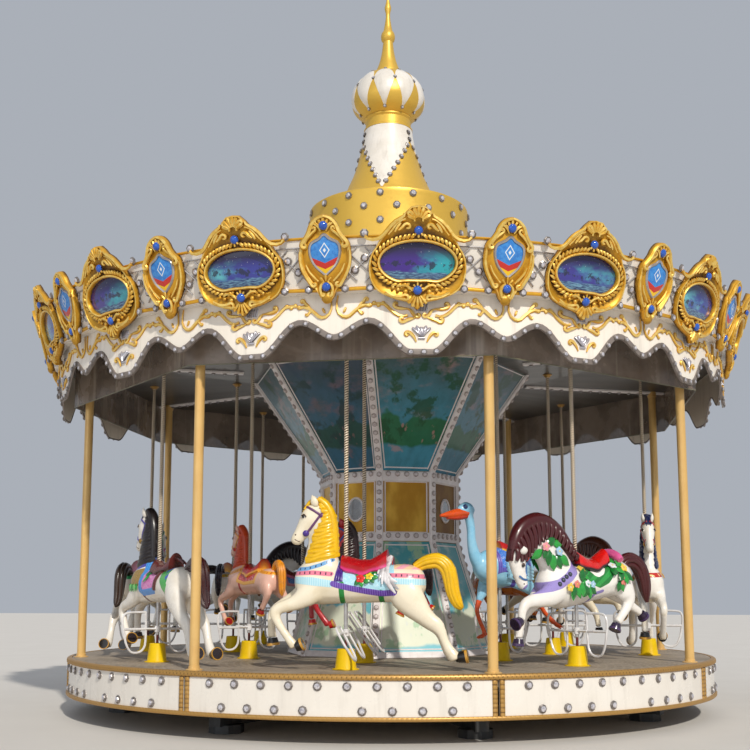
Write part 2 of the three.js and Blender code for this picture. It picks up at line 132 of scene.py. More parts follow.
def gather(shapes):
    """All these shapes as one; a mark that one lacks is 0 there."""
    shapes = [s for s in shapes if len(s.points)]
    starts = np.cumsum([0] + [len(s.points) for s in shapes[:-1]])
    names = sorted({k for s in shapes for k in s.marks})
    made = Shape(
        np.concatenate([s.points for s in shapes]),
        np.concatenate([s.quads + start for s, start in zip(shapes, starts)]),
        np.concatenate([s.tris + start for s, start in zip(shapes, starts)]),
    )
    for k in names:
        made.marks[k] = np.concatenate([s.marks.get(k, np.zeros(len(s.points))) for s in shapes])
    return made


def spread(shape, matrices, index_mark=None):
    """A copy of the shape at each 4x4 matrix, all worked out in one product."""
    matrices = np.asarray(matrices, float).reshape(-1, 4, 4)
    count, size = len(matrices), len(shape.points)
    points = np.einsum("mij,nj->mni", matrices[:, :3, :3], shape.points) + matrices[:, None, :3, 3]
    steps = (np.arange(count) * size)[:, None, None]
    made = Shape(points, (shape.quads[None] + steps).reshape(-1, 4),
                 (shape.tris[None] + steps).reshape(-1, 3))
    made.marks = {k: np.tile(v, count) for k, v in shape.marks.items()}
    if index_mark:
        made.marks[index_mark] = np.repeat(np.arange(count, dtype=float), size)
    return made


def turns(angles):
    """Matrices that turn by these angles about +Z; an azimuth grows the same way."""
    angles = np.atleast_1d(np.asarray(angles, float))
    made = np.tile(np.eye(4), (len(angles), 1, 1))
    made[:, 0, 0] = made[:, 1, 1] = np.cos(angles)
    made[:, 0, 1] = -np.sin(angles)
    made[:, 1, 0] = np.sin(angles)
    return made


def seats(origins, outs, ups=(0, 0, 1), size=1.0):
    """Matrices that stand a shape's +Z along outs, with its +Y as near to ups as it can be, at origins."""
    origins = np.atleast_2d(np.asarray(origins, float))
    z = np.broadcast_to(np.asarray(outs, float), origins.shape)
    z = z / np.linalg.norm(z, axis=1, keepdims=True)
    x = np.cross(np.broadcast_to(np.asarray(ups, float), origins.shape), z)
    x = x / np.maximum(np.linalg.norm(x, axis=1, keepdims=True), 1e-9)
    made = np.tile(np.eye(4), (len(origins), 1, 1))
    scale = np.broadcast_to(np.asarray(size, float), (len(origins),))[:, None]
    made[:, :3, 0], made[:, :3, 1], made[:, :3, 2] = x * scale, np.cross(z, x) * scale, z * scale
    made[:, :3, 3] = origins
    return made


def polar(radius, azimuth, z):
    """The point at a radius, azimuth and height."""
    radius, azimuth, z = np.broadcast_arrays(radius, azimuth, z)
    return np.stack([radius * np.sin(azimuth), -radius * np.cos(azimuth), z], -1)


def grid(points, wrap_rows=False, wrap_cols=False, caps=False, **marks):
    """A surface over rows and columns of points; caps close the end rows, each with a fan to its middle."""
    rows, cols = points.shape[:2]
    index = np.arange(rows * cols).reshape(rows, cols)
    table = index
    if wrap_rows:
        table = np.vstack([table, table[:1]])
    if wrap_cols:
        table = np.hstack([table, table[:, :1]])
    quads = np.stack([table[:-1, :-1], table[:-1, 1:], table[1:, 1:], table[1:, :-1]], -1).reshape(-1, 4)
    flat = points.reshape(-1, 3)
    tris = np.zeros((0, 3), np.int64)
    marks = {k: np.broadcast_to(v, (rows, cols)).ravel() for k, v in marks.items()}
    if caps:
        ends = np.stack([points[0].mean(0), points[-1].mean(0)])
        flat = np.vstack([flat, ends])
        first, last = rows * cols, rows * cols + 1
        low = np.stack([np.roll(index[0], -1), index[0], np.full(cols, first)], -1)
        high = np.stack([index[-1], np.roll(index[-1], -1), np.full(cols, last)], -1)
        tris = np.vstack([low, high])
        marks = {k: np.concatenate([v, v[:1], v[-1:]]) for k, v in marks.items()}
    return Shape(flat, quads, tris, **marks)


def lathe(profile, sides, closed=False, start=0.0, span=TURN, **marks):
    """A profile of (radius, height) turned about +Z; it closes on itself, or with a fan at each end."""
    profile = np.asarray(profile, float)
    full = span > TURN - 1e-6
    angle = start + np.arange(sides if full else sides + 1) * span / sides
    points = polar(profile[:, :1], angle[None], profile[:, 1:])
    if full:
        return grid(points, wrap_rows=closed, wrap_cols=True, caps=not closed, **marks)
    return grid(points.transpose(1, 0, 2), wrap_cols=True, caps=True, **marks)


def unit(vectors):
    """The vectors made one long."""
    return vectors / np.maximum(np.linalg.norm(vectors, axis=-1, keepdims=True), 1e-12)


def tube(path, radius, sides=8, up=(0, 0, 1), closed=False, flat=1.0):
    """A round section carried along a path; flat squeezes it along up."""
    path = np.asarray(path, float)
    ahead = np.roll(path, -1, 0) - np.roll(path, 1, 0) if closed else np.gradient(path, axis=0)
    ahead = unit(ahead)
    side = unit(np.cross(ahead, np.broadcast_to(np.asarray(up, float), path.shape)))
    over = np.cross(side, ahead)
    angle = np.arange(sides) * TURN / sides
    radius = np.broadcast_to(np.asarray(radius, float), (len(path),))[:, None, None]
    flat = np.broadcast_to(np.asarray(flat, float), (len(path),))[:, None, None]
    ring = np.cos(angle)[None, :, None] * side[:, None] + flat * np.sin(angle)[None, :, None] * over[:, None]
    return grid(path[:, None] + radius * ring, wrap_rows=closed, wrap_cols=True, caps=not closed)


def flow(points, count, closed=False):
    """A smooth line through the points (a Catmull-Rom spline), read at even steps."""
    p = np.asarray(points, float)
    if closed:
        p = np.vstack([p[-1:], p, p[:2]])
    else:
        p = np.vstack([2 * p[0] - p[1], p, 2 * p[-1] - p[-2]])
    spans = len(p) - 3
    t = np.linspace(0, spans, count, endpoint=not closed)
    i = np.minimum(t.astype(int), spans - 1)
    f = (t - i)[:, None]
    a, b, c, d = p[i], p[i + 1], p[i + 2], p[i + 3]
    return 0.5 * (2 * b + (c - a) * f + (2 * a - 5 * b + 4 * c - d) * f ** 2
                  + (3 * b - a - 3 * c + d) * f ** 3)


def even(line, count, closed=False):
    """The same line with its points an equal way apart."""
    line = np.vstack([line, line[:1]]) if closed else line
    run = np.concatenate([[0], np.cumsum(np.linalg.norm(np.diff(line, axis=0), axis=1))])
    t = np.linspace(0, run[-1], count, endpoint=not closed)
    return np.stack([np.interp(t, run, line[:, k]) for k in range(line.shape[1])], -1)


def smoothstep(low, high, x):
    """0 below low and 1 above high, with a smooth rise of 3 t squared less 2 t cubed between them."""
    t = np.clip((x - low) / (high - low), 0, 1)
    return t * t * (3 - 2 * t)


def away(points, polygon, closed=True):
    """Signed distance of flat points to a polygon, below 0 inside; plain distance to an open line."""
    polygon = np.asarray(polygon, float)
    ends = np.roll(polygon, -1, 0) if closed else polygon[1:]
    starts = polygon if closed else polygon[:-1]
    best = np.full(len(points), 1e9)
    inside = np.zeros(len(points), bool)
    for a, b in zip(starts, ends):
        ab, ap = b - a, points - a
        t = np.clip((ap @ ab) / max(ab @ ab, 1e-12), 0, 1)
        best = np.minimum(best, np.linalg.norm(ap - t[:, None] * ab, axis=1))
        if closed and a[1] != b[1]:
            crosses = (a[1] > points[:, 1]) != (b[1] > points[:, 1])
            at = a[0] + (points[:, 1] - a[1]) * (b[0] - a[0]) / (b[1] - a[1])
            inside ^= crosses & (points[:, 0] < at)
    return np.where(inside, -best, best) if closed else best


def mesh_from(name, shape):
    """A mesh with the shape's points, faces and marks, its faces turned outward."""
    mesh = bpy.data.meshes.new(name)
    mesh.vertices.add(len(shape.points))
    mesh.vertices.foreach_set("co", shape.points.astype(np.float32).ravel())
    corners = np.concatenate([shape.quads.ravel(), shape.tris.ravel()]).astype(np.int32)
    mesh.loops.add(len(corners))
    mesh.loops.foreach_set("vertex_index", corners)
    quads, tris = len(shape.quads), len(shape.tris)
    mesh.polygons.add(quads + tris)
    starts = np.concatenate([np.arange(quads) * 4, quads * 4 + np.arange(tris) * 3]).astype(np.int32)
    mesh.polygons.foreach_set("loop_start", starts)
    mesh.update(calc_edges=True)
    for key, values in shape.marks.items():
        attribute = mesh.attributes.new(key, "FLOAT", "POINT")
        attribute.data.foreach_set("value", values.astype(np.float32))
    work = bmesh.new()
    work.from_mesh(mesh)
    bmesh.ops.recalc_face_normals(work, faces=work.faces)
    work.to_mesh(mesh)
    work.free()
    return mesh


def make_piece(name, shape, finishes, body=CAROUSEL, stands_for=(), crease=38, pick=None):
    """Puts a shape into a mesh with its finishes and lets it ride on a body; pick is the mark that numbers
    its finishes."""
    mesh = mesh_from(name, shape)
    mesh.shade_smooth()
    mesh.set_sharp_from_angle(angle=math.radians(crease))
    for finish in [finishes] if isinstance(finishes, str) else finishes:
        mesh.materials.append(FINISHES[finish])
    if pick:
        values = np.zeros(len(mesh.vertices), np.float32)
        mesh.attributes[pick].data.foreach_get("value", values)
        first = np.zeros(len(mesh.polygons), np.int32)
        mesh.polygons.foreach_get("loop_start", first)
        vertex = np.zeros(len(mesh.loops), np.int32)
        mesh.loops.foreach_get("vertex_index", vertex)
        mesh.polygons.foreach_set("material_index", np.rint(values[vertex[first]]).astype(np.int32))
    piece = bpy.data.objects.new(name, mesh)
    bpy.context.scene.collection.objects.link(piece)
    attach(piece, body)
    if stands_for:
        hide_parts(*stands_for)
    return piece


# Finishes

GROUPS = {}
FINISHES = {}


class Board:
    """A short way to lay out the nodes of a material or a group."""

    def __init__(self, tree):
        self.tree = tree

    def node(self, kind, **settings):
        made = self.tree.nodes.new(kind)
        for key, value in settings.items():
            setattr(made, key, value)
        return made

    def put(self, socket, value):
        """Links a socket to an output, or sets it to a number, a linear colour or a colour's digits."""
        if isinstance(value, bpy.types.NodeSocket):
            self.tree.links.new(value, socket)
        elif value is not None:
            value = shade(value)
            if socket.type == "RGBA" and len(value) == 3:
                value = (*value, 1.0)
            socket.default_value = value

    def math(self, what, a, b=None):
        made = self.node("ShaderNodeMath", operation=what)
        for socket, value in zip(made.inputs, (a, b)):
            self.put(socket, value)
        return made.outputs[0]

    def times(self, a, b):
        return self.math("MULTIPLY", a, b)

    def plus(self, a, b):
        return self.math("ADD", a, b)

    def less(self, a, b):
        return self.math("SUBTRACT", a, b)

    def step(self, value, low, high):
        """0 below low and 1 above high, with a smooth rise between them."""
        made = self.node("ShaderNodeMapRange", interpolation_type="SMOOTHSTEP")
        for key, x in (("Value", value), ("From Min", low), ("From Max", high)):
            self.put(made.inputs[key], x)
        return made.outputs[0]

    def mix(self, share, a, b, how="MIX"):
        made = self.node("ShaderNodeMix", data_type="RGBA", blend_type=how)
        for socket, value in ((made.inputs[0], share), (made.inputs[6], a), (made.inputs[7], b)):
            self.put(socket, value)
        return made.outputs[2]

    def noise(self, place, scale, detail=3.0, rough=0.55):
        made = self.node("ShaderNodeTexNoise")
        for key, value in (("Vector", place), ("Scale", scale), ("Detail", detail), ("Roughness", rough)):
            self.put(made.inputs[key], value)
        return made.outputs[0]

    def cells(self, place, scale):
        """Distance to the nearest of scattered points."""
        made = self.node("ShaderNodeTexVoronoi", feature="F1")
        self.put(made.inputs["Vector"], place)
        self.put(made.inputs["Scale"], scale)
        return made.outputs["Distance"]

    def place(self):
        return self.node("ShaderNodeTexCoord").outputs["Object"]

    def stretch(self, place, scale):
        made = self.node("ShaderNodeMapping")
        for key, value in (("Vector", place), ("Scale", scale)):
            self.put(made.inputs[key], value)
        return made.outputs[0]

    def parts(self, place):
        made = self.node("ShaderNodeSeparateXYZ")
        self.put(made.inputs[0], place)
        return made.outputs

    def join(self, x, y, z=0.0):
        made = self.node("ShaderNodeCombineXYZ")
        for socket, value in zip(made.inputs, (x, y, z)):
            self.put(socket, value)
        return made.outputs[0]

    def mark(self, name):
        return self.node("ShaderNodeAttribute", attribute_name=name).outputs["Fac"]

    def bump(self, height, strength, distance):
        made = self.node("ShaderNodeBump")
        for key, value in (("Height", height), ("Strength", strength), ("Distance", distance)):
            self.put(made.inputs[key], value)
        return made.outputs[0]


def make_group(name, inputs, outputs, lay):
    """A node group with inputs (name, kind, default) and outputs (name, kind); lay draws the rest."""
    tree = bpy.data.node_groups.new(name, "ShaderNodeTree")
    for title, kind, default in inputs:
        socket = tree.interface.new_socket(title, in_out="INPUT", socket_type=kind)
        if default is not None:
            socket.default_value = default
    for title, kind in outputs:
        tree.interface.new_socket(title, in_out="OUTPUT", socket_type=kind)
    board = Board(tree)
    source, drain = board.node("NodeGroupInput"), board.node("NodeGroupOutput")
    for title, value in lay(board, source.outputs).items():
        board.put(drain.inputs[title], value)
    return tree


FLOAT, COLOUR = "NodeSocketFloat", "NodeSocketColor"


def lay_weather(board, given):
    """Mottled tone, streaks of grime that run down, and fine surface grain."""
    place = board.place()
    mottle = board.noise(place, given["Scale"], 4.0, 0.6)
    streaks = board.noise(board.stretch(place, (9.0, 9.0, 0.9)), 1.6, 4.0, 0.6)
    soot = board.times(board.step(streaks, 0.5, 0.78), given["Grime"])
    toned = board.mix(board.times(board.step(mottle, 0.3, 0.72), given["Mottle"]), given["Colour"],
                      given["Second"])
    grain = board.noise(place, 140.0, 2.0)
    return {
        "Colour": board.mix(soot, toned, given["Dirt"]),
        "Roughness": board.plus(given["Roughness"], board.times(board.less(mottle, 0.5), 0.22)),
        "Height": board.plus(board.times(grain, 0.3), mottle),
    }


def lay_gilding(board, given):
    """Gold paint with painted shade (umber) in the recesses and a painted highlight (pale) on the high
    ridges, by the relief mark (0 low, 1 high).
    """
    place = board.place()
    patch = board.noise(place, 22.0, 4.0, 0.6)
    relief = board.mark("relief")
    deep = board.plus(relief, board.times(board.less(patch, 0.5), 0.35))
    # Painted shade: the low parts of the relief turn umber
    low = board.mix(board.step(deep, 0.02, 0.55), given["Umber"], given["Gold"])
    # Painted highlight: the highest ridges, broken up by noise, turn pale
    lightened = board.step(board.plus(deep, board.times(patch, 0.25)), 0.95, 1.25)
    return {
        "Colour": board.mix(board.times(lightened, 0.7), low, given["Pale"]),
        "Roughness": board.plus(0.3, board.times(patch, 0.2)),
        "Height": board.noise(place, 90.0, 3.0),
    }


PAINT_OUT = [("Colour", COLOUR), ("Roughness", FLOAT), ("Height", FLOAT)]
WHITE = (1, 1, 1, 1)


def sockets(kind, default, *titles):
    """Inputs of one kind for a node group."""
    return [(title, kind, default) for title in titles]


def make_groups_once():
    """The node groups that several finishes share."""
    weather = [*sockets(COLOUR, WHITE, "Colour", "Second", "Dirt"), ("Scale", FLOAT, 3.0),
               ("Mottle", FLOAT, 0.5), ("Grime", FLOAT, 0.3), ("Roughness", FLOAT, 0.4)]
    GROUPS["weather"] = make_group("weathered paint", weather, PAINT_OUT, lay_weather)
    gilding = sockets(COLOUR, WHITE, "Gold", "Umber", "Pale")
    GROUPS["gilding"] = make_group("gilded relief", gilding, PAINT_OUT, lay_gilding)
    view = [*sockets(COLOUR, WHITE, "Ground", "Sky", "Zenith", "Leaf", "Bloom", "Dark"),
            *sockets(FLOAT, 0.0, "Low", "Span", "Seed", "Shadow", "Shore", "Dusk")]
    GROUPS["view"] = make_group("painted landscape", view, PAINT_OUT, lay_view)


def new_material(name):
    """A new finish of this name: the board of its nodes and its shader."""
    material = bpy.data.materials.new(name)
    material.use_nodes = True
    FINISHES[name] = material
    return Board(material.node_tree), material.node_tree.nodes["Principled BSDF"]


def use_group(board, name, **values):
    made = board.node("ShaderNodeGroup", node_tree=GROUPS[name])
    for key, value in values.items():
        board.put(made.inputs[key], value)
    return made.outputs


def set_shader(board, shader, **values):
    for key, value in values.items():
        board.put(shader.inputs[key.replace("_", " ")], value)


DIRT = (0.16, 0.13, 0.10)


def painted(name, colour, second=None, scale=3.0, mottle=0.5, grime=0.25, rough=0.38, metal=0.0, coat=0.0,
            bump=0.12, depth=0.002, spec=0.5):
    """A weathered painted, plastic or metal surface."""
    board, shader = new_material(name)
    second = second or tuple(0.82 * c for c in shade(colour))
    out = use_group(board, "weather", Colour=colour, Second=second, Dirt=DIRT, Scale=scale, Mottle=mottle,
                    Grime=grime, Roughness=rough)
    set_shader(board, shader, Base_Color=out["Colour"], Roughness=out["Roughness"], Metallic=metal,
               Coat_Weight=coat, Normal=board.bump(out["Height"], bump, depth), Specular_IOR_Level=spec)


def gilded(name, gold, recess_shade, pale, metal=0.78):
    """Gold paint over a moulded relief, with painted shade in its recesses and a painted highlight on its
    ridges.
    """
    board, shader = new_material(name)
    out = use_group(board, "gilding", Gold=gold, Umber=recess_shade, Pale=pale)
    set_shader(board, shader, Base_Color=out["Colour"], Roughness=out["Roughness"], Metallic=metal,
               Normal=board.bump(out["Height"], 0.12, 0.002))


def bay_coordinates(board):
    """Azimuth over a bay from 0 to 1, the bay's number, and height, from the piece's own coordinates."""
    x, y, z = board.parts(board.place())[:3]
    around = board.math("DIVIDE", board.math("ARCTAN2", x, board.times(y, -1.0)), BAY)
    bay = board.math("FLOOR", around)
    return board.less(around, bay), bay, z


def lay_view(board, given):
    """A landscape in soft brushwork on each flat panel: sky, hills, trees, flowers and water, another in each
    bay."""
    across, bay, z = bay_coordinates(board)
    up = board.math("DIVIDE", board.less(z, given["Low"]), given["Span"])
    place = board.join(board.plus(across, board.times(bay, 3.7)), up, given["Seed"])
    brush = board.noise(place, 9.0, 5.0, 0.65)
    wobble = board.times(board.less(board.noise(place, 2.1, 3.0), 0.5), 0.5)
    wavy = board.plus(up, wobble)
    sky = board.mix(board.step(wavy, 0.35, 1.0), given["Sky"], given["Zenith"])
    cloud = board.step(board.noise(board.stretch(place, (2.2, 5.0, 1.0)), 1.3, 5.0, 0.6), 0.5, 0.72)
    sky = board.mix(board.times(cloud, 0.55), sky, given["Bloom"])
    view = board.mix(board.step(board.less(wavy, 0.42), 0.015, -0.015), sky, given["Ground"])
    trees = board.step(board.noise(board.stretch(place, (1.0, 1.3, 1.0)), 3.4, 4.0, 0.6), 0.53, 0.6)
    view = board.mix(board.times(trees, 0.85), view, given["Leaf"])
    dots = board.cells(place, 11.0)
    flower = board.times(board.step(dots, 0.3, 0.2), board.step(brush, 0.5, 0.6))
    above_shore = board.less(up, given["Shore"])
    bed = board.times(board.step(above_shore, 0.24, 0.16), board.step(above_shore, -0.02, 0.02))
    view = board.mix(board.times(board.times(flower, bed), 0.8), view, given["Bloom"])
    water = board.mix(board.times(board.step(cloud, 0.2, 0.8), 0.5), given["Sky"], given["Bloom"])
    view = board.mix(board.step(board.plus(above_shore, board.times(wobble, 0.3)), 0.0, -0.03), view, water)
    turn = board.times(board.math("FRACT", board.times(bay, 0.37)), given["Dusk"])
    view = board.mix(turn, view, "2c2a58")
    view = board.mix(board.times(board.step(brush, 0.35, 0.75), given["Shadow"]), view, given["Dark"])
    return {"Colour": view, "Roughness": board.plus(0.3, board.times(brush, 0.2)), "Height": brush}


def painted_view(name, low, high, ground, sky, zenith, leaf, bloom, seed, shadow, shore=-1.0, dusk=0.0):
    """A finish with its own painted landscape between two heights."""
    board, shader = new_material(name)
    out = use_group(board, "view", Low=low, Span=high - low, Ground=ground, Sky=sky, Zenith=zenith, Leaf=leaf,
                    Bloom=bloom, Dark=tuple(0.35 * c for c in shade(ground)), Seed=seed, Shadow=shadow,
                    Shore=shore, Dusk=dusk)
    set_shader(board, shader, Base_Color=out["Colour"], Roughness=out["Roughness"], Coat_Weight=0.2,
               Normal=board.bump(out["Height"], 0.1, 0.003))


def deck_plate(name):
    """Worn grey tread plate: short raised bars in two directions, dull paint and scuffs."""
    board, shader = new_material(name)
    place = board.place()
    x, y, z = board.parts(place)[:3]
    radius = board.math("SQRT", board.plus(board.times(x, x), board.times(y, y)))
    around = board.math("ARCTAN2", x, board.times(y, -1.0))
    row = board.math("FLOOR", board.math("DIVIDE", radius, 0.045))
    even_row = board.math("MODULO", row, 2.0)
    swing = board.times(around, 160.0)
    tilt = board.times(board.less(even_row, 0.5), board.math("DIVIDE", radius, 0.0072))
    bars = board.math("SINE", board.plus(swing, tilt))
    tread = board.step(bars, 0.25, 0.8)
    patch = board.noise(place, 2.6, 5.0, 0.62)
    scuff = board.noise(place, 21.0, 4.0, 0.6)
    base = board.mix(board.step(patch, 0.35, 0.7), "8b7d6c", "ad9e8b")
    base = board.mix(board.times(board.step(scuff, 0.52, 0.72), 0.5), base, "62564a")
    base = board.mix(board.times(tread, 0.35), base, "c6b9a6")
    set_shader(board, shader, Base_Color=base, Metallic=0.12, Normal=board.bump(tread, 0.5, 0.004),
               Roughness=board.plus(0.45, board.times(scuff, 0.25)))


def smoky_film(name):
    """See-through grey-brown film with faint folds."""
    board, shader = new_material(name)
    place = board.place()
    folds = board.noise(board.stretch(place, (5.0, 5.0, 1.2)), 1.4, 4.0, 0.6)
    dust = board.noise(place, 2.0, 4.0, 0.6)
    tone = board.mix(board.step(dust, 0.3, 0.75), "73655a", "a29284")
    streak = board.noise(board.stretch(place, (9.0, 9.0, 0.5)), 1.0, 3.0, 0.6)
    tone = board.mix(board.times(board.step(streak, 0.52, 0.74), 0.45), tone, "d2c6b6")
    set_shader(board, shader, Base_Color=tone, Roughness=board.plus(0.16, board.times(dust, 0.2)),
               Alpha=board.plus(0.66, board.times(dust, 0.16)), Normal=board.bump(folds, 0.4, 0.01))


def night_view(name):
    """A small landscape at dusk, different in each frame: violet sky with stars, a teal glow, dark trees and
    a lake."""
    board, shader = new_material(name)
    across, up, which = board.mark("across"), board.mark("up"), board.mark("which")
    place = board.join(board.plus(across, board.times(which, 2.37)), up, board.times(which, 0.73))
    soft = board.noise(place, 1.5, 4.0, 0.6)
    turn = board.math("FRACT", board.times(which, 0.37))
    glow = board.step(board.plus(board.times(across, board.less(0.45, turn)), soft), 0.42, 0.78)
    sky = board.mix(glow, board.mix(turn, "3c1f86", "2c4aa0"), board.mix(turn, "1f9fae", "74c4cf"))
    sky = board.mix(board.step(up, 0.1, 0.9), sky, "1a1248")
    star = board.step(board.cells(place, 9.0), 0.12, 0.03)
    sky = board.mix(board.times(star, board.step(up, -0.1, 0.3)), sky, (0.85, 0.85, 0.95))
    lake = board.step(board.plus(up, board.times(soft, 0.5)), -0.02, -0.12)
    ripple = board.noise(board.stretch(place, (3.0, 14.0, 1.0)), 2.0, 3.0)
    water = board.mix(board.step(ripple, 0.4, 0.65), "20386e", "6fa0c0")
    view = board.mix(lake, sky, water)
    ridge = board.noise(board.stretch(place, (1.0, 0.4, 1.0)), 4.0, 5.0, 0.65)
    shore = board.math("ABSOLUTE", board.less(up, 0.05))
    trees = board.step(board.less(board.times(ridge, 1.7), shore), 0.8, 0.88)
    view = board.mix(board.times(trees, 0.85), view, "14203a")
    set_shader(board, shader, Base_Color=view, Roughness=0.16, Coat_Weight=0.6,
               Normal=board.bump(ripple, 0.04, 0.002))


def shield_paint(name):
    """A shield painted blue over a red and a yellow chevron, with a small white lozenge and dots."""
    board, shader = new_material(name)
    across, up = board.mark("across"), board.mark("up")
    level = board.less(up, board.times(board.math("ABSOLUTE", across), 0.45))
    grain = board.noise(board.place(), 30.0, 3.0)
    blue = board.mix(board.step(grain, 0.3, 0.7), "2a74c4", "3f90d8")
    red = board.step(level, -0.052, -0.056)
    yellow = board.step(level, -0.098, -0.102)
    paint = board.mix(yellow, board.mix(red, blue, "c62a1c"), "f2c41a")
    size = board.plus(board.times(board.math("ABSOLUTE", across), 1.5),
                      board.math("ABSOLUTE", board.less(up, 0.045)))
    ring = board.times(board.step(size, 0.062, 0.058), board.step(size, 0.046, 0.05))
    dot = board.step(size, 0.02, 0.016)
    paint = board.mix(board.math("MAXIMUM", ring, dot), paint, "e4e8ea")
    set_shader(board, shader, Base_Color=paint, Roughness=board.plus(0.2, board.times(grain, 0.15)),
               Coat_Weight=0.4, Normal=board.bump(grain, 0.06, 0.002))


def twisted_brass(name):
    """Brass twisted in two strands: the relief is the cosine of twice the angle round the pole less the
    height over a strand. The grooves between the strands are painted dark brown as painted shade."""
    board, shader = new_material(name)
    rise = board.parts(board.place())[2]
    angle = board.math("ARCTAN2", board.mark("round_y"), board.mark("round_x"))
    wound = board.less(board.times(angle, 2.0), board.times(rise, TURN / 0.021))
    relief = board.plus(board.times(board.math("COSINE", wound), 0.5), 0.5)
    lightened = board.noise(board.place(), 18.0, 3.0)
    pale = board.mix(lightened, "ead4b0", "fff4e2")
    # Painted shade: dark brown in the grooves between the strands
    tone = board.mix(board.step(relief, 0.24, 0.5), "4a301c", pale)
    set_shader(board, shader, Base_Color=tone, Metallic=0.25,
               Roughness=board.plus(0.24, board.times(lightened, 0.2)), Normal=board.bump(relief, 0.9, 0.006))


def amber_mirror(name):
    """Old amber mirror: yellow tin with cloudy patches that reflects softly; the side between azimuths 45 and
    90 degrees and the one opposite are painted browner as a painted darker reflection."""
    board, shader = new_material(name)
    place = board.place()
    across, bay, z = bay_coordinates(board)
    cloud = board.noise(board.stretch(place, (1.0, 1.0, 0.55)), 3.0, 4.0, 0.5)
    spots = board.noise(place, 26.0, 3.0)
    tone = board.mix(board.step(cloud, 0.34, 0.66), "b88420", "f4c450")
    edge = board.math("ABSOLUTE", board.less(across, 0.5))
    tone = board.mix(board.times(board.step(edge, 0.2, 0.5), 0.4), tone, "7a4c10")
    # Painted reflection: the side between azimuths 45 and 90 degrees and the one opposite are darkened to
    # brown
    side = board.math("ABSOLUTE", board.less(board.math("MODULO", board.plus(bay, 8.0), 4.0), 1.0))
    tone = board.mix(board.times(board.step(side, 0.5, 0.4), 0.75), tone, "4a2408")
    set_shader(board, shader, Base_Color=tone, Metallic=0.5, Normal=board.bump(cloud, 0.25, 0.01),
               Roughness=board.plus(0.30, board.times(spots, 0.18)))


def make_finishes():
    """All the finishes, by name."""
    colours = bpy.context.scene.carousel_colours
    gold, recess_shade, pale = tuple(colours.gold), tuple(colours.recess_shade), tuple(colours.ridge_highlight_gold)
    white = tuple(colours.white)
    painted("white gloss", white, "ddd5ca", grime=0.16, rough=0.28, coat=0.25)
    painted("valance white", "f3ebdf", "e6dccd", scale=2.2, grime=0.26, rough=0.34, coat=0.15)
    # Each gilded finish takes gold, then a colour of painted shade for its recesses, then one of painted
    # highlight for its ridges
    gilded("ornament gold", gold, recess_shade, pale, metal=0.45)
    gilded("scroll gold", "dba432", "8a5c22", "f6dc88", metal=0.35)
    gilded("dome gold", "e0b64c", "a8741e", "fae292", metal=0.45)
    gilded("rim gold", "b98f4e", "5f4426", "e2c084", metal=0.5)
    painted("post gold", "e2ba74", "d4a660", scale=4.0, mottle=0.6, grime=0.16, rough=0.32,
            metal=0.2, coat=0.2)
    painted("border grey", "7b716b", "938983", scale=5.0, mottle=0.6, grime=0.2, rough=0.42, metal=0.15)
    painted("silver rod", "bfbab8", "94908e", scale=12.0, mottle=0.8, grime=0.15, rough=0.28, metal=0.5)
    painted("rib white", "fbf5f4", "e2dada", scale=7.0, mottle=0.6, grime=0.14, rough=0.4)
    painted("crystal glass", "e6e3e8", "8f8c98", scale=60.0, mottle=0.9, grime=0.0, rough=0.06, metal=0.35,
            coat=0.7, bump=0.05)
    painted("crystal cup", "8f8884", "5c5653", scale=40.0, mottle=0.8, grime=0.1, rough=0.3, metal=0.4)
    painted("bulb glass", "f2e9ea", "c3b6b8", scale=60.0, mottle=0.9, grime=0.0, rough=0.1, metal=0.0,
            coat=0.5, bump=0.05)
    painted("bulb cup", "c9bdb9", "978a86", scale=40.0, mottle=0.8, grime=0.1, rough=0.35, metal=0.1)
    painted("blue gem", "1c5ec6", "0f3a94", scale=30.0, mottle=0.6, grime=0.0, rough=0.08, coat=0.8)
    painted("steel frame", "4c4f52", "35302c", scale=5.0, mottle=0.7, grime=0.5, rough=0.55, metal=0.5)
    painted("roof skin", "d9d5cd", "bcb6ab", scale=1.4, mottle=0.7, grime=0.4, rough=0.5)
    painted("boot yellow", "e8c400", "d9aa00", scale=7.0, mottle=0.6, grime=0.06, rough=0.42,
            coat=0.0, spec=0.25)
    painted("tube white", "e8e6e6", "b9b5b4", scale=9.0, mottle=0.6, grime=0.2, rough=0.3, coat=0.2)
    painted("film hem", "77755c", "605c48", scale=6.0, rough=0.35)
    twisted_brass("pole brass")
    painted("tube silver", "c9c7c7", "918e8c", scale=10.0, mottle=0.6, grime=0.15, rough=0.24, metal=0.6)
    painted("rod red", "6a1e18", "431410", scale=18.0, mottle=0.6, grime=0.3, rough=0.35)
    painted("mirror oval", "b9b9b8", "8b8a8a", scale=7.0, mottle=0.8, grime=0.1, rough=0.12, metal=0.8)
    painted("petal white", "eae4dc", "cfc7ba", scale=4.0, mottle=0.6, grime=0.22, rough=0.32, coat=0.15)
    painted("pleat silver", "c9c6cc", "918e96", scale=14.0, mottle=0.6, grime=0.05, rough=0.26, metal=0.5)
    painted_view("upper view", 2.42, 3.5, "2c7c56", "4c9cb8", "4c6f78", "1c5c3a", "d8a098", 1.3,
                 0.30, 0.24, 0.85)
    painted_view("lower view", 0.54, 1.69, "e6ecd6", "72c6d6", "4aa6b0", "a9cfa6", "dfe6dc", 5.1, 0.04, 0.12)
    # The ceiling's own paint is dark; its colours are darkened further as painted shade under the canopy
    painted_view("ceiling view in painted shade", -40.0, 60.0, "2f2820", "3a3329", "413b32", "27291f", "574c3e", 9.4, 0.35)
    night_view("night view")
    shield_paint("shield paint")
    amber_mirror("amber mirror")
    deck_plate("deck plate")
    smoky_film("smoky film")


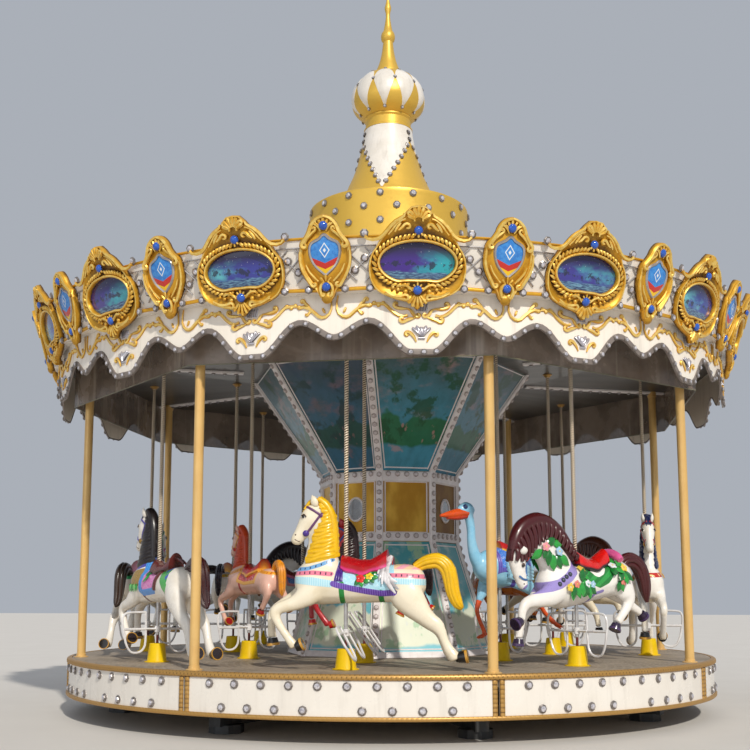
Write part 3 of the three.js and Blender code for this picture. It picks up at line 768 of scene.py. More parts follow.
def wear(node, finish):
    """Gives a carried-over CAD node its finish."""
    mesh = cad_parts[node].data
    mesh.materials.clear()
    mesh.materials.append(FINISHES[finish])


# Small shapes


def crystal(radius=0.025, sides=7):
    """A faceted glass button on a grey cup, standing on +Z: a low cup wall, a rim and a cut crown of flat
    faces."""
    profile = np.array([(1.0, 0.0), (1.04, 0.26), (0.74, 0.42), (0.64, 0.60), (0.30, 0.76)]) * radius
    return lathe(profile, sides, part=np.array([1, 1, 1, 0, 0])[:, None])


def gem(radius, sides=10, rings=3):
    """A smooth domed stone: a quarter circle turned about its axis, flattened to two thirds."""
    angle = np.linspace(0, math.pi / 2 * 0.8, rings)
    profile = np.stack([radius * np.cos(angle), 0.66 * radius * np.sin(angle)], -1)
    return lathe(np.vstack([[radius * 0.98, -radius * 0.2], profile]), sides)


def make_buttons(name, shape, kind="crystal"):
    """A piece of faceted buttons: glass on grey cups."""
    make_piece(name, shape, [kind + " glass", kind + " cup"], crease=12, pick="part")


def scroll_line(points, curl=0.0, turn_way=1, steps=11, tail=8):
    """A smooth flat line that ends in a closing spiral of the given first radius; turn_way 1 winds to the
    left."""
    line = flow(points, steps)
    if not curl:
        return line
    heading = unit(line[-1] - line[-2])
    side = np.array([-heading[1], heading[0]]) * turn_way
    t = np.linspace(0, 1, tail)[1:]
    angle = t * 1.55 * math.pi
    radius = curl * (1 - 0.72 * t)
    centre = line[-1] + side * curl
    spiral = centre - side * (radius * np.cos(angle))[:, None] + heading * (radius * np.sin(angle))[:, None]
    return np.vstack([line, spiral])


def bar_radius(count, thick, start=0.45, end=0.55):
    """Radius along a scroll: thin at its start, full in the middle, and a knob at its end."""
    t = np.linspace(0, 1, count)
    return thick * (start + (1 - start) * smoothstep(0, 0.3, t) - (1 - end) * smoothstep(0.75, 1, t) + 0.35
                    * smoothstep(0.96, 1, t))


# Sizes and colours a user may change


class CarouselSizes(bpy.types.PropertyGroup):
    crystal_radius: FloatProperty(name="Crystal radius", description="Radius of the glass buttons",
                                  default=0.025, min=0.01, max=0.06, unit="LENGTH")
    bulb_pitch: FloatProperty(name="Bulb pitch", description="Way between bulbs along the valance edge",
                              default=0.112, min=0.05, max=0.4, unit="LENGTH")
    rope_pitch: FloatProperty(name="Rope pitch", description="Length of one strand of the roped rims",
                              default=0.038, min=0.01, max=0.1, unit="LENGTH")
    post_radius: FloatProperty(name="Post radius", description="Radius of the posts under the canopy",
                               default=0.042, min=0.02, max=0.08, unit="LENGTH")
    round_sides: IntProperty(name="Round sides", description="Faces round the large turned pieces",
                             default=160, min=32, max=400)


class CarouselColours(bpy.types.PropertyGroup):
    gold: FloatVectorProperty(name="Gold", description="Gold paint on the ornaments", default=shade("dca52e"),
                              size=3, subtype="COLOR", min=0, max=1)
    # Colour of the painted shade in the recesses of the gold
    recess_shade: FloatVectorProperty(name="Umber", description="Brown in the recesses of the gold",
                               default=shade("5e3f1c"), size=3, subtype="COLOR", min=0, max=1)
    # Colour of the painted highlight on the ridges of the gold
    ridge_highlight_gold: FloatVectorProperty(name="Pale gold", description="Worn ridges of the gold",
                                   default=shade("fae38c"), size=3, subtype="COLOR", min=0, max=1)
    white: FloatVectorProperty(name="White", description="White paint of the panels", default=shade("e8e2d9"),
                               size=3, subtype="COLOR", min=0, max=1)


# Deck, skirt and posts


def roped_ring(profile, count, pitch_angle, lift, start=0.0, span=TURN):
    """A profile (radius, height) turned about +Z whose outer points swell by |sin| of the strand number: a
    rope moulding."""
    profile = np.asarray(profile, float)
    angle = start + np.linspace(0, span, count, endpoint=span < TURN - 1e-6)
    outer = (profile[:, 0] - profile[:, 0].min()) / np.ptp(profile[:, 0])
    slant = angle[None] + (profile[:, 1] - profile[:, 1].mean())[:, None] * 0.18
    swell = lift * outer[:, None] * (np.abs(np.sin(slant / pitch_angle * math.pi)) - 0.6)
    points = polar(profile[:, :1] + swell, angle[None], profile[:, 1:])
    # The relief mark follows the swell, so the gold finish paints shade in the grooves between strands and a
    # highlight on their crests
    relief = np.clip(0.55 + swell / lift, 0, 1.1)
    if span > TURN - 1e-6:
        return grid(points, wrap_rows=True, wrap_cols=True, relief=relief)
    return grid(points.transpose(1, 0, 2), wrap_cols=True, caps=True, relief=relief.T)


def build_deck(sizes):
    """The tread floor, a flat ring with a chamfered rim, and a yellow boot turned round each pole's foot."""
    sides = sizes.round_sides
    low, rim = DECK_TOP - 0.1, 3.262
    disc = lathe([(0.147, low), (rim, low), (rim, DECK_TOP - 0.004), (rim - 0.004, DECK_TOP),
                  (0.147, DECK_TOP)], sides, closed=True).mark(part=0)
    boot = lathe([(0.030, 0.0), (0.112, 0.0), (0.113, 0.004), (0.111, 0.008), (0.092, 0.010), (0.089, 0.016),
                  (0.074, 0.150), (0.071, 0.165), (0.064, 0.170), (0.030, 0.170)], 20,
                 closed=True).mark(part=1)
    places = np.vstack([polar(row, AT_BAYS, DECK_TOP + 0.0005) for row in (OUTER_ROW, INNER_ROW)])
    boots = spread(boot, seats(places, (0, 0, 1), (0, 1, 0)))
    make_piece("deck_floor", gather([disc, boots]), ["deck plate", "boot yellow"],
               stands_for=["deck"], crease=30, pick="part")
    wear("ground_frame", "steel frame")


def build_skirt(sizes):
    """Eight white panels; roped gold rims above and below; a double gold strip at each seam; staggered
    crystal rows."""
    inner, face, low, high = 3.2635, 3.288, 0.195, 0.499
    gap = 0.012 / face
    panel = lathe([(inner, low), (face - 0.004, low), (face, low + 0.006), (face, high - 0.006),
                   (face - 0.004, high), (inner, high)], 30, start=-HALF_BAY + gap, span=BAY - 2 * gap)
    panels = spread(panel, turns(AT_BAYS))
    make_piece("skirt_white_panels", panels, "white gloss",
               stands_for=["skirt_panels"], crease=30)
    strands = round(TURN * 3.31 / sizes.rope_pitch)
    top = roped_ring([(inner, 0.4975), (3.298, 0.4975), (3.308, 0.505), (3.310, 0.520), (3.306, 0.536),
                      (3.296, 0.543), (inner, 0.543)], strands * 3, TURN / strands, 0.006)
    foot = roped_ring([(3.2885, 0.190), (3.302, 0.190), (3.308, 0.198), (3.308, 0.216), (3.302, 0.224),
                       (3.2885, 0.224)], strands * 3, TURN / strands, 0.006)
    height = 0.302
    steps = 4 * round(height / sizes.rope_pitch)
    t = np.linspace(0, 1, steps)
    swell = 0.0035 * (np.abs(np.sin(t * steps / 4 * math.pi)) - 0.6)
    section = np.array([(-0.5, 0.0), (-0.5, 0.5), (-0.36, 0.95), (0.0, 1.0), (0.36, 0.95), (0.5, 0.5),
                        (0.5, 0.0)])
    x = section[None, :, 0] * 0.040
    out = 3.2885 + section[None, :, 1] * (0.015 + swell[:, None])
    z = 0.215 + t[:, None] * (height - 0.02)
    # As on the roped rims, the relief mark follows the swell: painted shade in the grooves, a painted
    # highlight on the crests
    strip = grid(np.stack([np.broadcast_to(x, out.shape), -out, np.broadcast_to(z, out.shape)], -1),
                 wrap_cols=True, caps=True, relief=np.broadcast_to(0.55 + swell[:, None] / 0.0035, out.shape))
    angles = AT_SEAMS
    strips = [spread(strip, turns(angles + side * 0.030 / face)) for side in (-1, 1)]
    make_piece("skirt_gold_rims", gather([top, foot, *strips]), "rim gold",
               stands_for=["skirt_trim"], crease=50)
    across = (np.arange(10) - 4.5) * 0.231 / face
    lower = np.delete(across[:-1] + 0.1155 / face, 4)
    spots = np.array([(a + b * BAY, z) for b in range(BAYS) for z, row in ((0.452, across), (0.268, lower))
                      for a in row])
    outs = polar(1.0, spots[:, 0], 0.0)
    buttons = spread(crystal(sizes.crystal_radius * 1.42, 8),
                     seats(polar(face - 0.001, spots[:, 0], spots[:, 1]), outs))
    make_buttons("skirt_crystals", buttons)


def build_posts(sizes):
    """Eight round posts with a stepped foot plate and a plain collar at the head, turned from one profile."""
    r = sizes.post_radius
    base = DECK_TOP + 0.0003
    profile = [(0.070, 0.0), (0.070, 0.006), (0.064, 0.010), (r + 0.006, 0.012), (r + 0.005, 0.030),
               (r, 0.034), (r, CEILING - base - 0.060), (r + 0.008, CEILING - base - 0.056),
               (r + 0.008, CEILING - base - 0.0006)]
    post = lathe(profile, 28)
    places = polar(3.175, AT_SEAMS, base)
    make_piece("posts", spread(post, seats(places, (0, 0, 1), (0, 1, 0))), "post gold",
               stands_for=[f"post_{i + 1}" for i in range(BAYS)], crease=30)


# Canopy


def valance_edge(azimuth):
    """Height of the valance's lower edge: a deep, flat bottomed lobe under each oval and a shallow one under
    each shield."""
    to_big = np.abs(np.mod(azimuth - SCALLOP_TURN, HALF_BAY) - HALF_BAY / 2)
    big = to_big < BIG_LOBE_HALF
    share = np.where(big, to_big / BIG_LOBE_HALF, (HALF_BAY / 2 - to_big) / SMALL_LOBE_HALF)
    drop = ARCH_TOP - np.where(big, BIG_LOBE_LOW, SMALL_LOBE_LOW)
    return ARCH_TOP - drop * (1 - smoothstep(np.where(big, BIG_LOBE_FLAT, 0.0), 1.0, share))


def edge_line(count):
    """The whole lower edge as (azimuth, height), points an equal way apart."""
    azimuth = np.linspace(0, TURN, 6400, endpoint=False)
    line = even(np.stack([azimuth * VALANCE_RADIUS, valance_edge(azimuth)], -1), count, closed=False)
    return line[:, 0] / VALANCE_RADIUS, line[:, 1]


def build_valance(sizes):
    """A white wall to the wavy edge, a grey border that follows it, bulbs on the border and gold scrolls in
    relief."""
    azimuth = np.linspace(0, TURN, 16 * 44, endpoint=False)
    edge = valance_edge(azimuth)
    share = np.array([0.0, 0.0, 0.08, 0.3, 0.6, 1.0, 1.0])[:, None]
    radius = np.array([3.4700, 3.4790, 3.4800, 3.4800, 3.4800, 3.4800, 3.4700])[:, None]
    z = edge[None] + 0.006 + (3.522 - edge[None]) * share
    wall = grid(polar(radius, azimuth[None], z), wrap_rows=True, wrap_cols=True)
    make_piece("valance_wall", wall, "valance white", stands_for=["valance"], crease=50)
    # Border: the edge line moved along its own normal by up to its width, 6 mm proud of the wall
    arc = azimuth * VALANCE_RADIUS
    slope = np.gradient(edge, arc)
    normal = unit(np.stack([-slope, np.ones_like(slope)], -1))
    steps = BORDER * np.array([0.0, 0.08, 0.5, 0.92, 1.0, 1.0, 0.0])[:, None]
    out = np.array([3.4740, 3.4855, 3.4880, 3.4865, 3.4805, 3.4740, 3.4680])[:, None]
    border = polar(out, azimuth[None] + normal[None, :, 0] * steps / VALANCE_RADIUS, edge[None]
                   + normal[None, :, 1] * steps)
    make_piece("valance_border", grid(border, wrap_rows=True, wrap_cols=True), "border grey",
               crease=50)
    length = np.sum(np.hypot(np.diff(arc, append=TURN * VALANCE_RADIUS), np.diff(edge, append=edge[0])))
    at, height = edge_line(16 * round(length / 16 / sizes.bulb_pitch))
    up = unit(np.stack([-np.gradient(height, at * VALANCE_RADIUS), np.ones_like(height)], -1)) * 0.021
    places = polar(3.4872, at + up[:, 0] / VALANCE_RADIUS, height + up[:, 1])
    bulbs = spread(crystal(sizes.crystal_radius), seats(places, polar(1.0, at, 0.0)))
    make_buttons("valance_bulbs", bulbs)
    scrolls = [
        ([(-653, 3478), (-662, 3410), (-657, 3351), (-622, 3312), (-587, 3303), (-552, 3319), (-500, 3369),
          (-447, 3396),
          (-412, 3392)], 16, 0, 15),
        ([(-500, 3372), (-474, 3404), (-452, 3424), (-440, 3446)], 14, -1, 14),
        ([(-412, 3392), (-368, 3405), (-320, 3406), (-280, 3398), (-245, 3360), (-202, 3323), (-158, 3303),
          (-110, 3312)], 0, 1, 14),
        ([(-96, 3362), (-140, 3364), (-180, 3368), (-206, 3378)], 22, -1, 15),
        ([(-110, 3364), (-82, 3350), (-61, 3318), (-38, 3300)], 18, 1, 14),
        ([(-48, 3292), (-78, 3284), (-110, 3274), (-140, 3258)], 24, -1, 15),
        ([(-42, 3100), (-60, 3140), (-84, 3168), (-104, 3178)], 20, 1, 14),
        ([(-610, 3340), (-600, 3360), (-592, 3380)], 0, 1, 11),
        ([(-506, 3372), (-486, 3350), (-470, 3330)], 8, 1, 12),
    ]
    shapes = []
    for points, curl, way, thick in scrolls:
        line = scroll_line(np.asarray(points) / 1000, curl / 1000, way)
        for side in (-1, 1):
            path = polar(3.4815 + thick * 0.0004, line[:, 0] * -side / VALANCE_RADIUS, line[:, 1])
            shapes.append(tube(path, bar_radius(len(path), thick / 1000), 5, up=(0, -1, 0), flat=0.8))
    knobs = [(-.398, 3.396), (-.368, 3.412), (-.335, 3.396), (-.298, 3.410)]
    for x, z in knobs + [(-x, z) for x, z in knobs]:
        shapes.append(spread(gem(0.019, 7), seats(polar(3.484, x / VALANCE_RADIUS, z), (0, -1, 0))))
    one = gather(shapes)
    # The relief mark grows with the height off the wall: the scroll gold paints shade where the scrolls meet
    # the wall and a highlight on their tops
    depth = np.hypot(one.points[:, 0], one.points[:, 1]) - VALANCE_RADIUS
    one.mark(relief=np.clip(0.10 + depth / 0.014, 0, 1.1))
    ring = turns(OVAL_START + SCALLOP_TURN + AT_HALVES)
    make_piece("valance_scrolls", spread(one, ring), "scroll gold", crease=60)
    # Silver shell on each deep lobe: a fan whose ribs swell by |cos| and whose rim is scalloped, and
    # pleats above it
    u = np.linspace(-1, 1, 25)[None]
    v = np.array([0.0, 0.0, 0.12, 0.5, 0.9, 1.0, 1.0])[:, None]
    ribs = np.abs(np.cos(u * 4.5 * math.pi / 2))
    reach = 0.112 * (0.84 + 0.16 * ribs) * (1 - 0.22 * (1 - np.abs(u)) ** 3)
    rise = np.array([0.0, 0.010, 0.018, 0.018, 0.013, 0.006, 0.0])[:, None] * (0.7 + 0.5 * ribs)
    fan = polar(3.4802 + rise, reach * v * np.sin(u * math.radians(46)) / VALANCE_RADIUS, 3.132 + reach * v
                * np.cos(u * math.radians(46)))
    roll = tube(polar(3.486, np.linspace(-.026, .026, 5) / VALANCE_RADIUS, 3.130), 0.011, 7, up=(0, -1, 0))
    pleats = []
    for x in np.linspace(-0.050, 0.050, 5):
        z = np.linspace(3.345, 3.408, 5)
        pleats.append(tube(polar(3.481, x * (0.70 + (z - 3.345) * 4.0) / VALANCE_RADIUS, z), 0.009, 6,
                           up=(0, -1, 0), flat=0.7))
    silver = gather([grid(fan, wrap_cols=False, wrap_rows=True), roll, *pleats])
    make_piece("valance_shells", spread(silver, ring), "pleat silver", crease=60)


def build_film():
    """The smoky band: flat between the posts, 1.5 mm thick, with faint folds; its depth ripples by the sum of
    two sines."""
    high, low = CEILING - 0.0006, 3.0475
    per_side = 24
    t = np.arange(BAYS * per_side) / per_side
    corner = polar(3.331, (np.arange(BAYS) - 0.5) * BAY, 0.0)[:, :2]
    side, share = t.astype(int), t - t.astype(int)
    plan = corner[side] * (1 - share)[:, None] + corner[(side + 1) % BAYS] * share[:, None]
    out = unit(plan)
    z = np.linspace(low, high, 9)
    fade = np.sin(np.linspace(0, 1, 9) * math.pi) * 0.5 + 0.5
    ripple = 0.003 * (np.sin(t * 11.0)[None]
                      + np.sin(t * 23.0 + z[:, None] * 9)) * np.sin(share * math.pi)[None] * fade[:, None]
    def face(depth):
        flat = plan[None] + out[None] * (ripple + depth)[..., None] - out[None] * 0.004
        return np.concatenate([flat, np.broadcast_to(z[:, None, None], flat.shape[:2] + (1,))], -1)
    both = np.concatenate([face(0.00075), face(-0.00075)[::-1]])
    film = make_piece("smoky_band", grid(both, wrap_rows=True, wrap_cols=True), "smoky film",
                      stands_for=["rain_skirt"], crease=50)
    hem_path = np.concatenate([plan - out * 0.004, np.full((len(plan), 1), low + 0.004)], -1)
    hem = tube(hem_path, 0.0045, 6, closed=True)
    make_piece("smoky_band_hem", hem, "film hem", crease=60)


def on_crown(x, y, depth, centre):
    """A point x along the crown, y up its slope from centre and depth out from its face, bent round the
    wall."""
    x, y, depth = np.broadcast_arrays(x, y, depth)
    z = centre + y * math.cos(CROWN_LEAN)
    radius = CROWN_FOOT_RADIUS + CROWN_SLOPE * (z - CROWN_LOW)
    middle = CROWN_FOOT_RADIUS + CROWN_SLOPE * (centre - CROWN_LOW)
    return polar(radius + depth * math.cos(CROWN_LEAN), x / middle, z - depth * math.sin(CROWN_LEAN))


CROWN_OUT = np.array([0.0, -math.cos(CROWN_LEAN), -math.sin(CROWN_LEAN)])


def set_on_crown(shape, x, y, depth, centre):
    """A small shape that stands on the crown."""
    return spread(shape, seats(on_crown(x, y, depth, centre), CROWN_OUT))


def ring_reach(points, angles):
    """How far a star-shaped outline reaches from its middle at these angles."""
    line = even(flow(points, 400, closed=True), 720, closed=True)
    theta = np.mod(np.arctan2(line[:, 1], line[:, 0]), TURN)
    order = np.argsort(theta)
    return np.interp(np.mod(angles, TURN), theta[order], np.hypot(line[:, 0], line[:, 1])[order], period=TURN)


def mirrored(half):
    """An outline from its right half, listed from the bottom middle to the top middle."""
    half = np.asarray(half, float) / 1000
    left = half[::-1][(half[::-1][:, 0] > 1e-6)] * (-1, 1)
    return np.vstack([half, left])


OVAL_OUTLINE = mirrored([
    (0, -341), (40, -312), (54, -290), (92, -279), (155, -266), (244, -234), (300, -204), (338, -165),
    (368, -100), (377, -20), (368, 50), (346, 103), (316, 146), (292, 190), (262, 224), (243, 250),
    (217, 285), (182, 325), (137, 356), (103, 378), (92, 412), (60, 443), (0, 453),
])
SHIELD_OUTLINE = mirrored([
    (0, -350), (44, -338), (62, -300), (84, -262), (118, -220), (158, -160), (188, -100), (203, -30),
    (200, 50), (188, 108), (150, 150), (120, 196), (104, 244), (66, 294), (24, 314), (0, 318),
])
SHIELD_PLATE = mirrored([
    (0, -143), (35, -118), (72, -82), (100, -38), (116, 15), (118, 58), (110, 86), (94, 106), (62, 122),
    (36, 136), (18, 156), (0, 164),
])


def outward(line):
    """Unit normals of a closed flat line that runs anticlockwise: its own direction turned a quarter to the
    right."""
    ahead = unit(np.roll(line, -1, 0) - np.roll(line, 1, 0))
    return np.stack([ahead[:, 1], -ahead[:, 0]], -1)


def moulding(inner, outer, near, far, centre):
    """A closed ring on the crown. Its rows lie at set ways (way, height) out from the inner line, then in
    from the outer one."""
    out, back = outward(inner), unit(outer - inner)
    flat = np.stack([inner + out * way for way, _ in near] + [outer - back * way for way, _ in far], 1)
    lift = np.array([height for _, height in near + far])[None] * np.ones((len(inner), 1))
    # The relief mark grows with the lift off the wall: painted shade on the low rows, a painted highlight on
    # the high ones
    relief = np.clip((lift - 0.022) / 0.032, 0, 1.1)
    return grid(on_crown(flat[..., 0], flat[..., 1], lift, centre), wrap_rows=True, wrap_cols=True,
                relief=relief)


def build_crown_wall(sizes):
    """The white wall, turned from one profile: a foot band, then a face that leans out by its slope."""
    sides = sizes.round_sides
    foot, head, low, high = CROWN_FOOT_RADIUS, CROWN_HEAD_RADIUS, CROWN_LOW, CROWN_HIGH
    profile = [(3.4805, low), (foot + 0.012, low), (foot + 0.020, low + 0.006), (foot + 0.020, low + 0.030),
               (foot + 0.012, low + 0.038), (foot + CROWN_SLOPE * 0.04, low + 0.04),
               (head + 0.007, high + 0.024), (head - 0.044, high + 0.024), (3.4805, 3.5375)]
    make_piece("crown_white_wall", lathe(profile, sides, closed=True), "white gloss",
               stands_for=["crown_wall"], crease=30)


def crown_scrolls(lines, centre, base):
    """Scrolls on the crown, mirrored left and right: lines of points in millimetres, curl, winding and
    thickness."""
    made = []
    for points, curl, way, thick in lines:
        line = scroll_line(np.asarray(points, float) / 1000, curl, way)
        for side in (-1, 1):
            path = on_crown(line[:, 0] * side, line[:, 1], base, centre)
            shape = tube(path, bar_radius(len(path), thick, 0.6), 5, up=CROWN_OUT, flat=0.9)
            # Relief by side of the bar: high on the sides that face out, low on those that face the wall, so
            # the gold paints a highlight outside and shade towards the wall
            relief = np.concatenate([np.tile((0.7, 1.05, 1.0, 0.45, 0.4), len(path)), [0.6, 0.6]])
            made.append(shape.mark(relief=relief))
    return made


def fan_of(reach, spread_out, ribs, foot, centre, depth, thick, down=False):
    """A fan of tapered ribs on the crown from a foot, opening upward or downward."""
    made = []
    for a in np.radians(np.linspace(-spread_out, spread_out, ribs)):
        line = np.linspace(reach * 0.28, reach * (1 - 0.16 * abs(a)), 5)
        y = foot + line * np.cos(a) * (-1 if down else 1)
        path = on_crown(line * math.sin(a), y, depth, centre)
        made.append(tube(path, thick * np.array([0.45, 0.7, 0.9, 1.0, 0.75]), 5,
                         up=CROWN_OUT).mark(relief=0.95))
    return made


def oval_opening(count):
    """The picture opening: an ellipse whose foot swells up in the middle by a flat-topped bell."""
    t = np.arange(count) * TURN / count
    line = np.stack([0.288 * np.cos(t), 0.020 + 0.156 * np.sin(t)], -1)
    line[:, 1] += np.where(np.sin(t) < 0, 0.030 * np.exp(-(line[:, 0] / 0.125) ** 4), 0)
    return line


def build_oval_frames():
    """Sixteen oval frames: a bright bead, a groove with a twisted rope, a smooth rim, a shell crest and a
    leafy pendant."""
    opening = oval_opening(88)
    angle = np.arctan2(opening[:, 1], opening[:, 0])
    outer = np.stack([np.cos(angle), np.sin(angle)], -1) * ring_reach(OVAL_OUTLINE, angle)[:, None]
    near = [(0, .004), (0, .042), (.005, .054), (.014, .058), (.022, .050), (.028, .024), (.062, .024)]
    far = [(.020, .040), (.014, .054), (.004, .054), (0, .038), (0, .004)]
    shapes = [moulding(opening, outer, near, far, OVAL_HEIGHT)]
    # Rope: strands laid across the groove, each from its inner to its outer edge, slanting away from the top
    count = 48
    line = even(oval_opening(360), 360, closed=True)
    out = outward(line)
    start = (np.arange(count) * 360 / count + 3).astype(int)
    slant = np.where(line[start, 0] > 0, 4, -4)
    ends = [line[(start + s * slant) % 360] + out[(start + s * slant) % 360] * way for s,
            way in ((-1, .030), (1, .062))]
    for a, b in zip(*ends):
        if abs(a[0]) > 0.055:
            flat = a + (b - a) * np.array([0.0, 0.25, 0.75, 1.0])[:, None]
            path = on_crown(flat[:, 0], flat[:, 1], np.array([.034, .046, .046, .034]), OVAL_HEIGHT)
            shapes.append(tube(path, np.array([.004, .0125, .0125, .004]), 5, up=CROWN_OUT).mark(relief=0.95))
    shapes += crown_scrolls([
        ([(104, 392), (112, 370), (140, 352), (184, 322), (220, 282), (248, 244), (286, 208), (332, 194),
          (376, 200), (400, 222)], 0, 1, 0.017),
        ([(96, 350), (130, 338), (166, 308), (196, 268), (226, 232)], 0, 1, 0.010),
        ([(150, 262), (124, 282), (104, 306)], 0.026, 1, 0.014),
        ([(176, 250), (158, 282), (132, 318)], 0, 1, 0.013),
        ([(30, 330), (36, 368), (56, 398)], 0.018, -1, 0.014),
        ([(250, -196), (196, -228), (140, -236), (96, -226)], 0.024, 1, 0.015),
        ([(60, -262), (120, -254), (180, -240), (250, -212)], 0, 1, 0.012),
        ([(40, -196), (66, -168), (104, -150), (140, -158)], 0, 1, 0.011),
    ], OVAL_HEIGHT, 0.058)
    shapes += fan_of(0.112, 60, 7, 0.330, OVAL_HEIGHT, 0.058, 0.018)
    shapes += fan_of(0.125, 40, 5, -0.205, OVAL_HEIGHT, 0.060, 0.014, down=True)
    shapes += fan_of(0.060, 72, 5, -0.190, OVAL_HEIGHT, 0.058, 0.008)
    shapes += fan_of(0.055, 40, 3, 0.263, OVAL_HEIGHT, 0.058, 0.009, down=True)
    for x, y, r in ((0.092, -0.202, 0.020), (0.150, -0.186, 0.015), (0.190, -0.170, 0.013),
                    (0.0, -0.318, 0.024)):
        for side in (-1, 1):
            shapes.append(set_on_crown(gem(r, 6), x * side, y, 0.048, OVAL_HEIGHT).mark(relief=0.9))
    ovals = spread(gather(shapes), turns(OVAL_START + AT_HALVES))
    make_piece("crown_oval_frames", ovals, "ornament gold",
               stands_for=["crown_trim"], crease=60)
    picture_plates("crown_pictures", opening, (0.0, 0.014), (0.288, 0.156), OVAL_HEIGHT, OVAL_START,
                   "night view")
    stones = gather([set_on_crown(gem(r, 10), 0.0, y, d, OVAL_HEIGHT) for y, r, d in (
        (0.263, 0.035, 0.058), (-0.190, 0.037, 0.060))])
    return spread(stones, turns(OVAL_START + AT_HALVES))


def picture_plates(name, outline, rise, size, centre, start, finish):
    """Sixteen slightly domed plates: the outline drawn in to its middle, the height rising as 1 - share
    squared."""
    middle = outline.mean(0)
    rings = np.array([1.0, 1.0, 0.7, 0.35, 0.04])[:, None, None]
    flat = middle + (outline - middle)[None] * rings * 1.02
    lift = rise[1] + 0.012 * (1 - rings[..., 0] ** 2) * np.ones(len(outline))
    lift[0] = rise[0]
    shape = grid(on_crown(flat[..., 0], flat[..., 1], lift, centre), wrap_cols=True, caps=True,
                 across=flat[..., 0] / size[0], up=flat[..., 1] / size[1])
    plates = spread(shape, turns(start + AT_HALVES), index_mark="which")
    make_piece(name, plates, finish, crease=50)


def build_shield_frames(sizes):
    """Sixteen shields: a painted plate with a silver rim in a carved gold frame, with two stones, rails and
    foot line."""
    t = np.arange(72) * TURN / 72
    around = np.stack([np.cos(t), np.sin(t)], -1)
    plate = around * ring_reach(SHIELD_PLATE, t)[:, None]
    rim = around * ring_reach(SHIELD_OUTLINE, t)[:, None]
    near = [(0, .004), (0, .040), (.010, .046), (.030, .036)]
    far = [(.034, .034), (.026, .052), (.008, .056), (0, .036), (0, .004)]
    shapes = [moulding(plate, rim, near, far, SHIELD_HEIGHT)]
    shapes += crown_scrolls([
        ([(0, 304), (52, 284), (92, 240), (112, 190), (134, 150), (172, 104)], 0.026, -1, 0.019),
        ([(192, 40), (194, -30), (180, -96), (148, -162), (112, -222)], 0.020, -1, 0.016),
        ([(150, 96), (130, 136), (100, 168), (66, 196)], 0.018, -1, 0.012),
        ([(14, -196), (40, -220), (50, -256), (40, -296)], 0.016, -1, 0.015),
        ([(150, -60), (128, -112), (96, -152), (60, -190)], 0.0, 1, 0.010),
        ([(20, 190), (40, 226), (70, 250)], 0.014, 1, 0.011),
    ], SHIELD_HEIGHT, 0.056)
    shapes += fan_of(0.085, 52, 5, 0.205, SHIELD_HEIGHT, 0.056, 0.013)
    shapes += fan_of(0.075, 40, 3, -0.215, SHIELD_HEIGHT, 0.056, 0.010)
    shapes.append(set_on_crown(gem(0.046, 10), 0.0, -0.322, 0.044, SHIELD_HEIGHT).mark(relief=0.35))
    shields = spread(gather(shapes), turns(AT_HALVES))
    head, high = CROWN_HEAD_RADIUS + 0.007, CROWN_HIGH + 0.0245
    rail = lathe([(head - 0.04, high), (head + 0.008, high), (head + 0.018, high + 0.006),
                  (head + 0.018, high + 0.016), (head + 0.006, high + 0.022), (head - 0.04, high + 0.022)],
                 sizes.round_sides, closed=True).mark(relief=0.8)
    azimuth = np.linspace(0, TURN, 16 * 24, endpoint=False)
    wave = 0.012 * np.abs(np.sin(azimuth * 16)) - 0.004
    foot = tube(polar(CROWN_FOOT_RADIUS + 0.024, azimuth, CROWN_LOW + 0.012 + wave), 0.016, 6,
                closed=True).mark(relief=0.5)
    make_piece("crown_shield_frames", gather([shields, rail, foot]), "ornament gold",
               crease=60)
    picture_plates("crown_shields", plate * 0.97, (0.0, 0.044), (1.0, 1.0), SHIELD_HEIGHT, 0.0,
                   "shield paint")
    border = tube(on_crown(plate[:, 0], plate[:, 1], 0.046, SHIELD_HEIGHT), 0.0115, 5, up=CROWN_OUT,
                  closed=True)
    make_piece("shield_silver_rims", spread(border, turns(AT_HALVES)), "silver rod",
               crease=60)
    pair = gather([set_on_crown(gem(0.036, 10), 0.0, y, d, SHIELD_HEIGHT) for y,
                   d in ((-0.235, 0.058), (0.232, 0.062))])
    return spread(pair, turns(AT_HALVES))


def build_crown_frames(sizes):
    """The oval and the shield frames, and the blue stones of both in one piece."""
    stones = gather([build_oval_frames(), build_shield_frames(sizes)])
    make_piece("blue_stones", stones, "blue gem", crease=60)


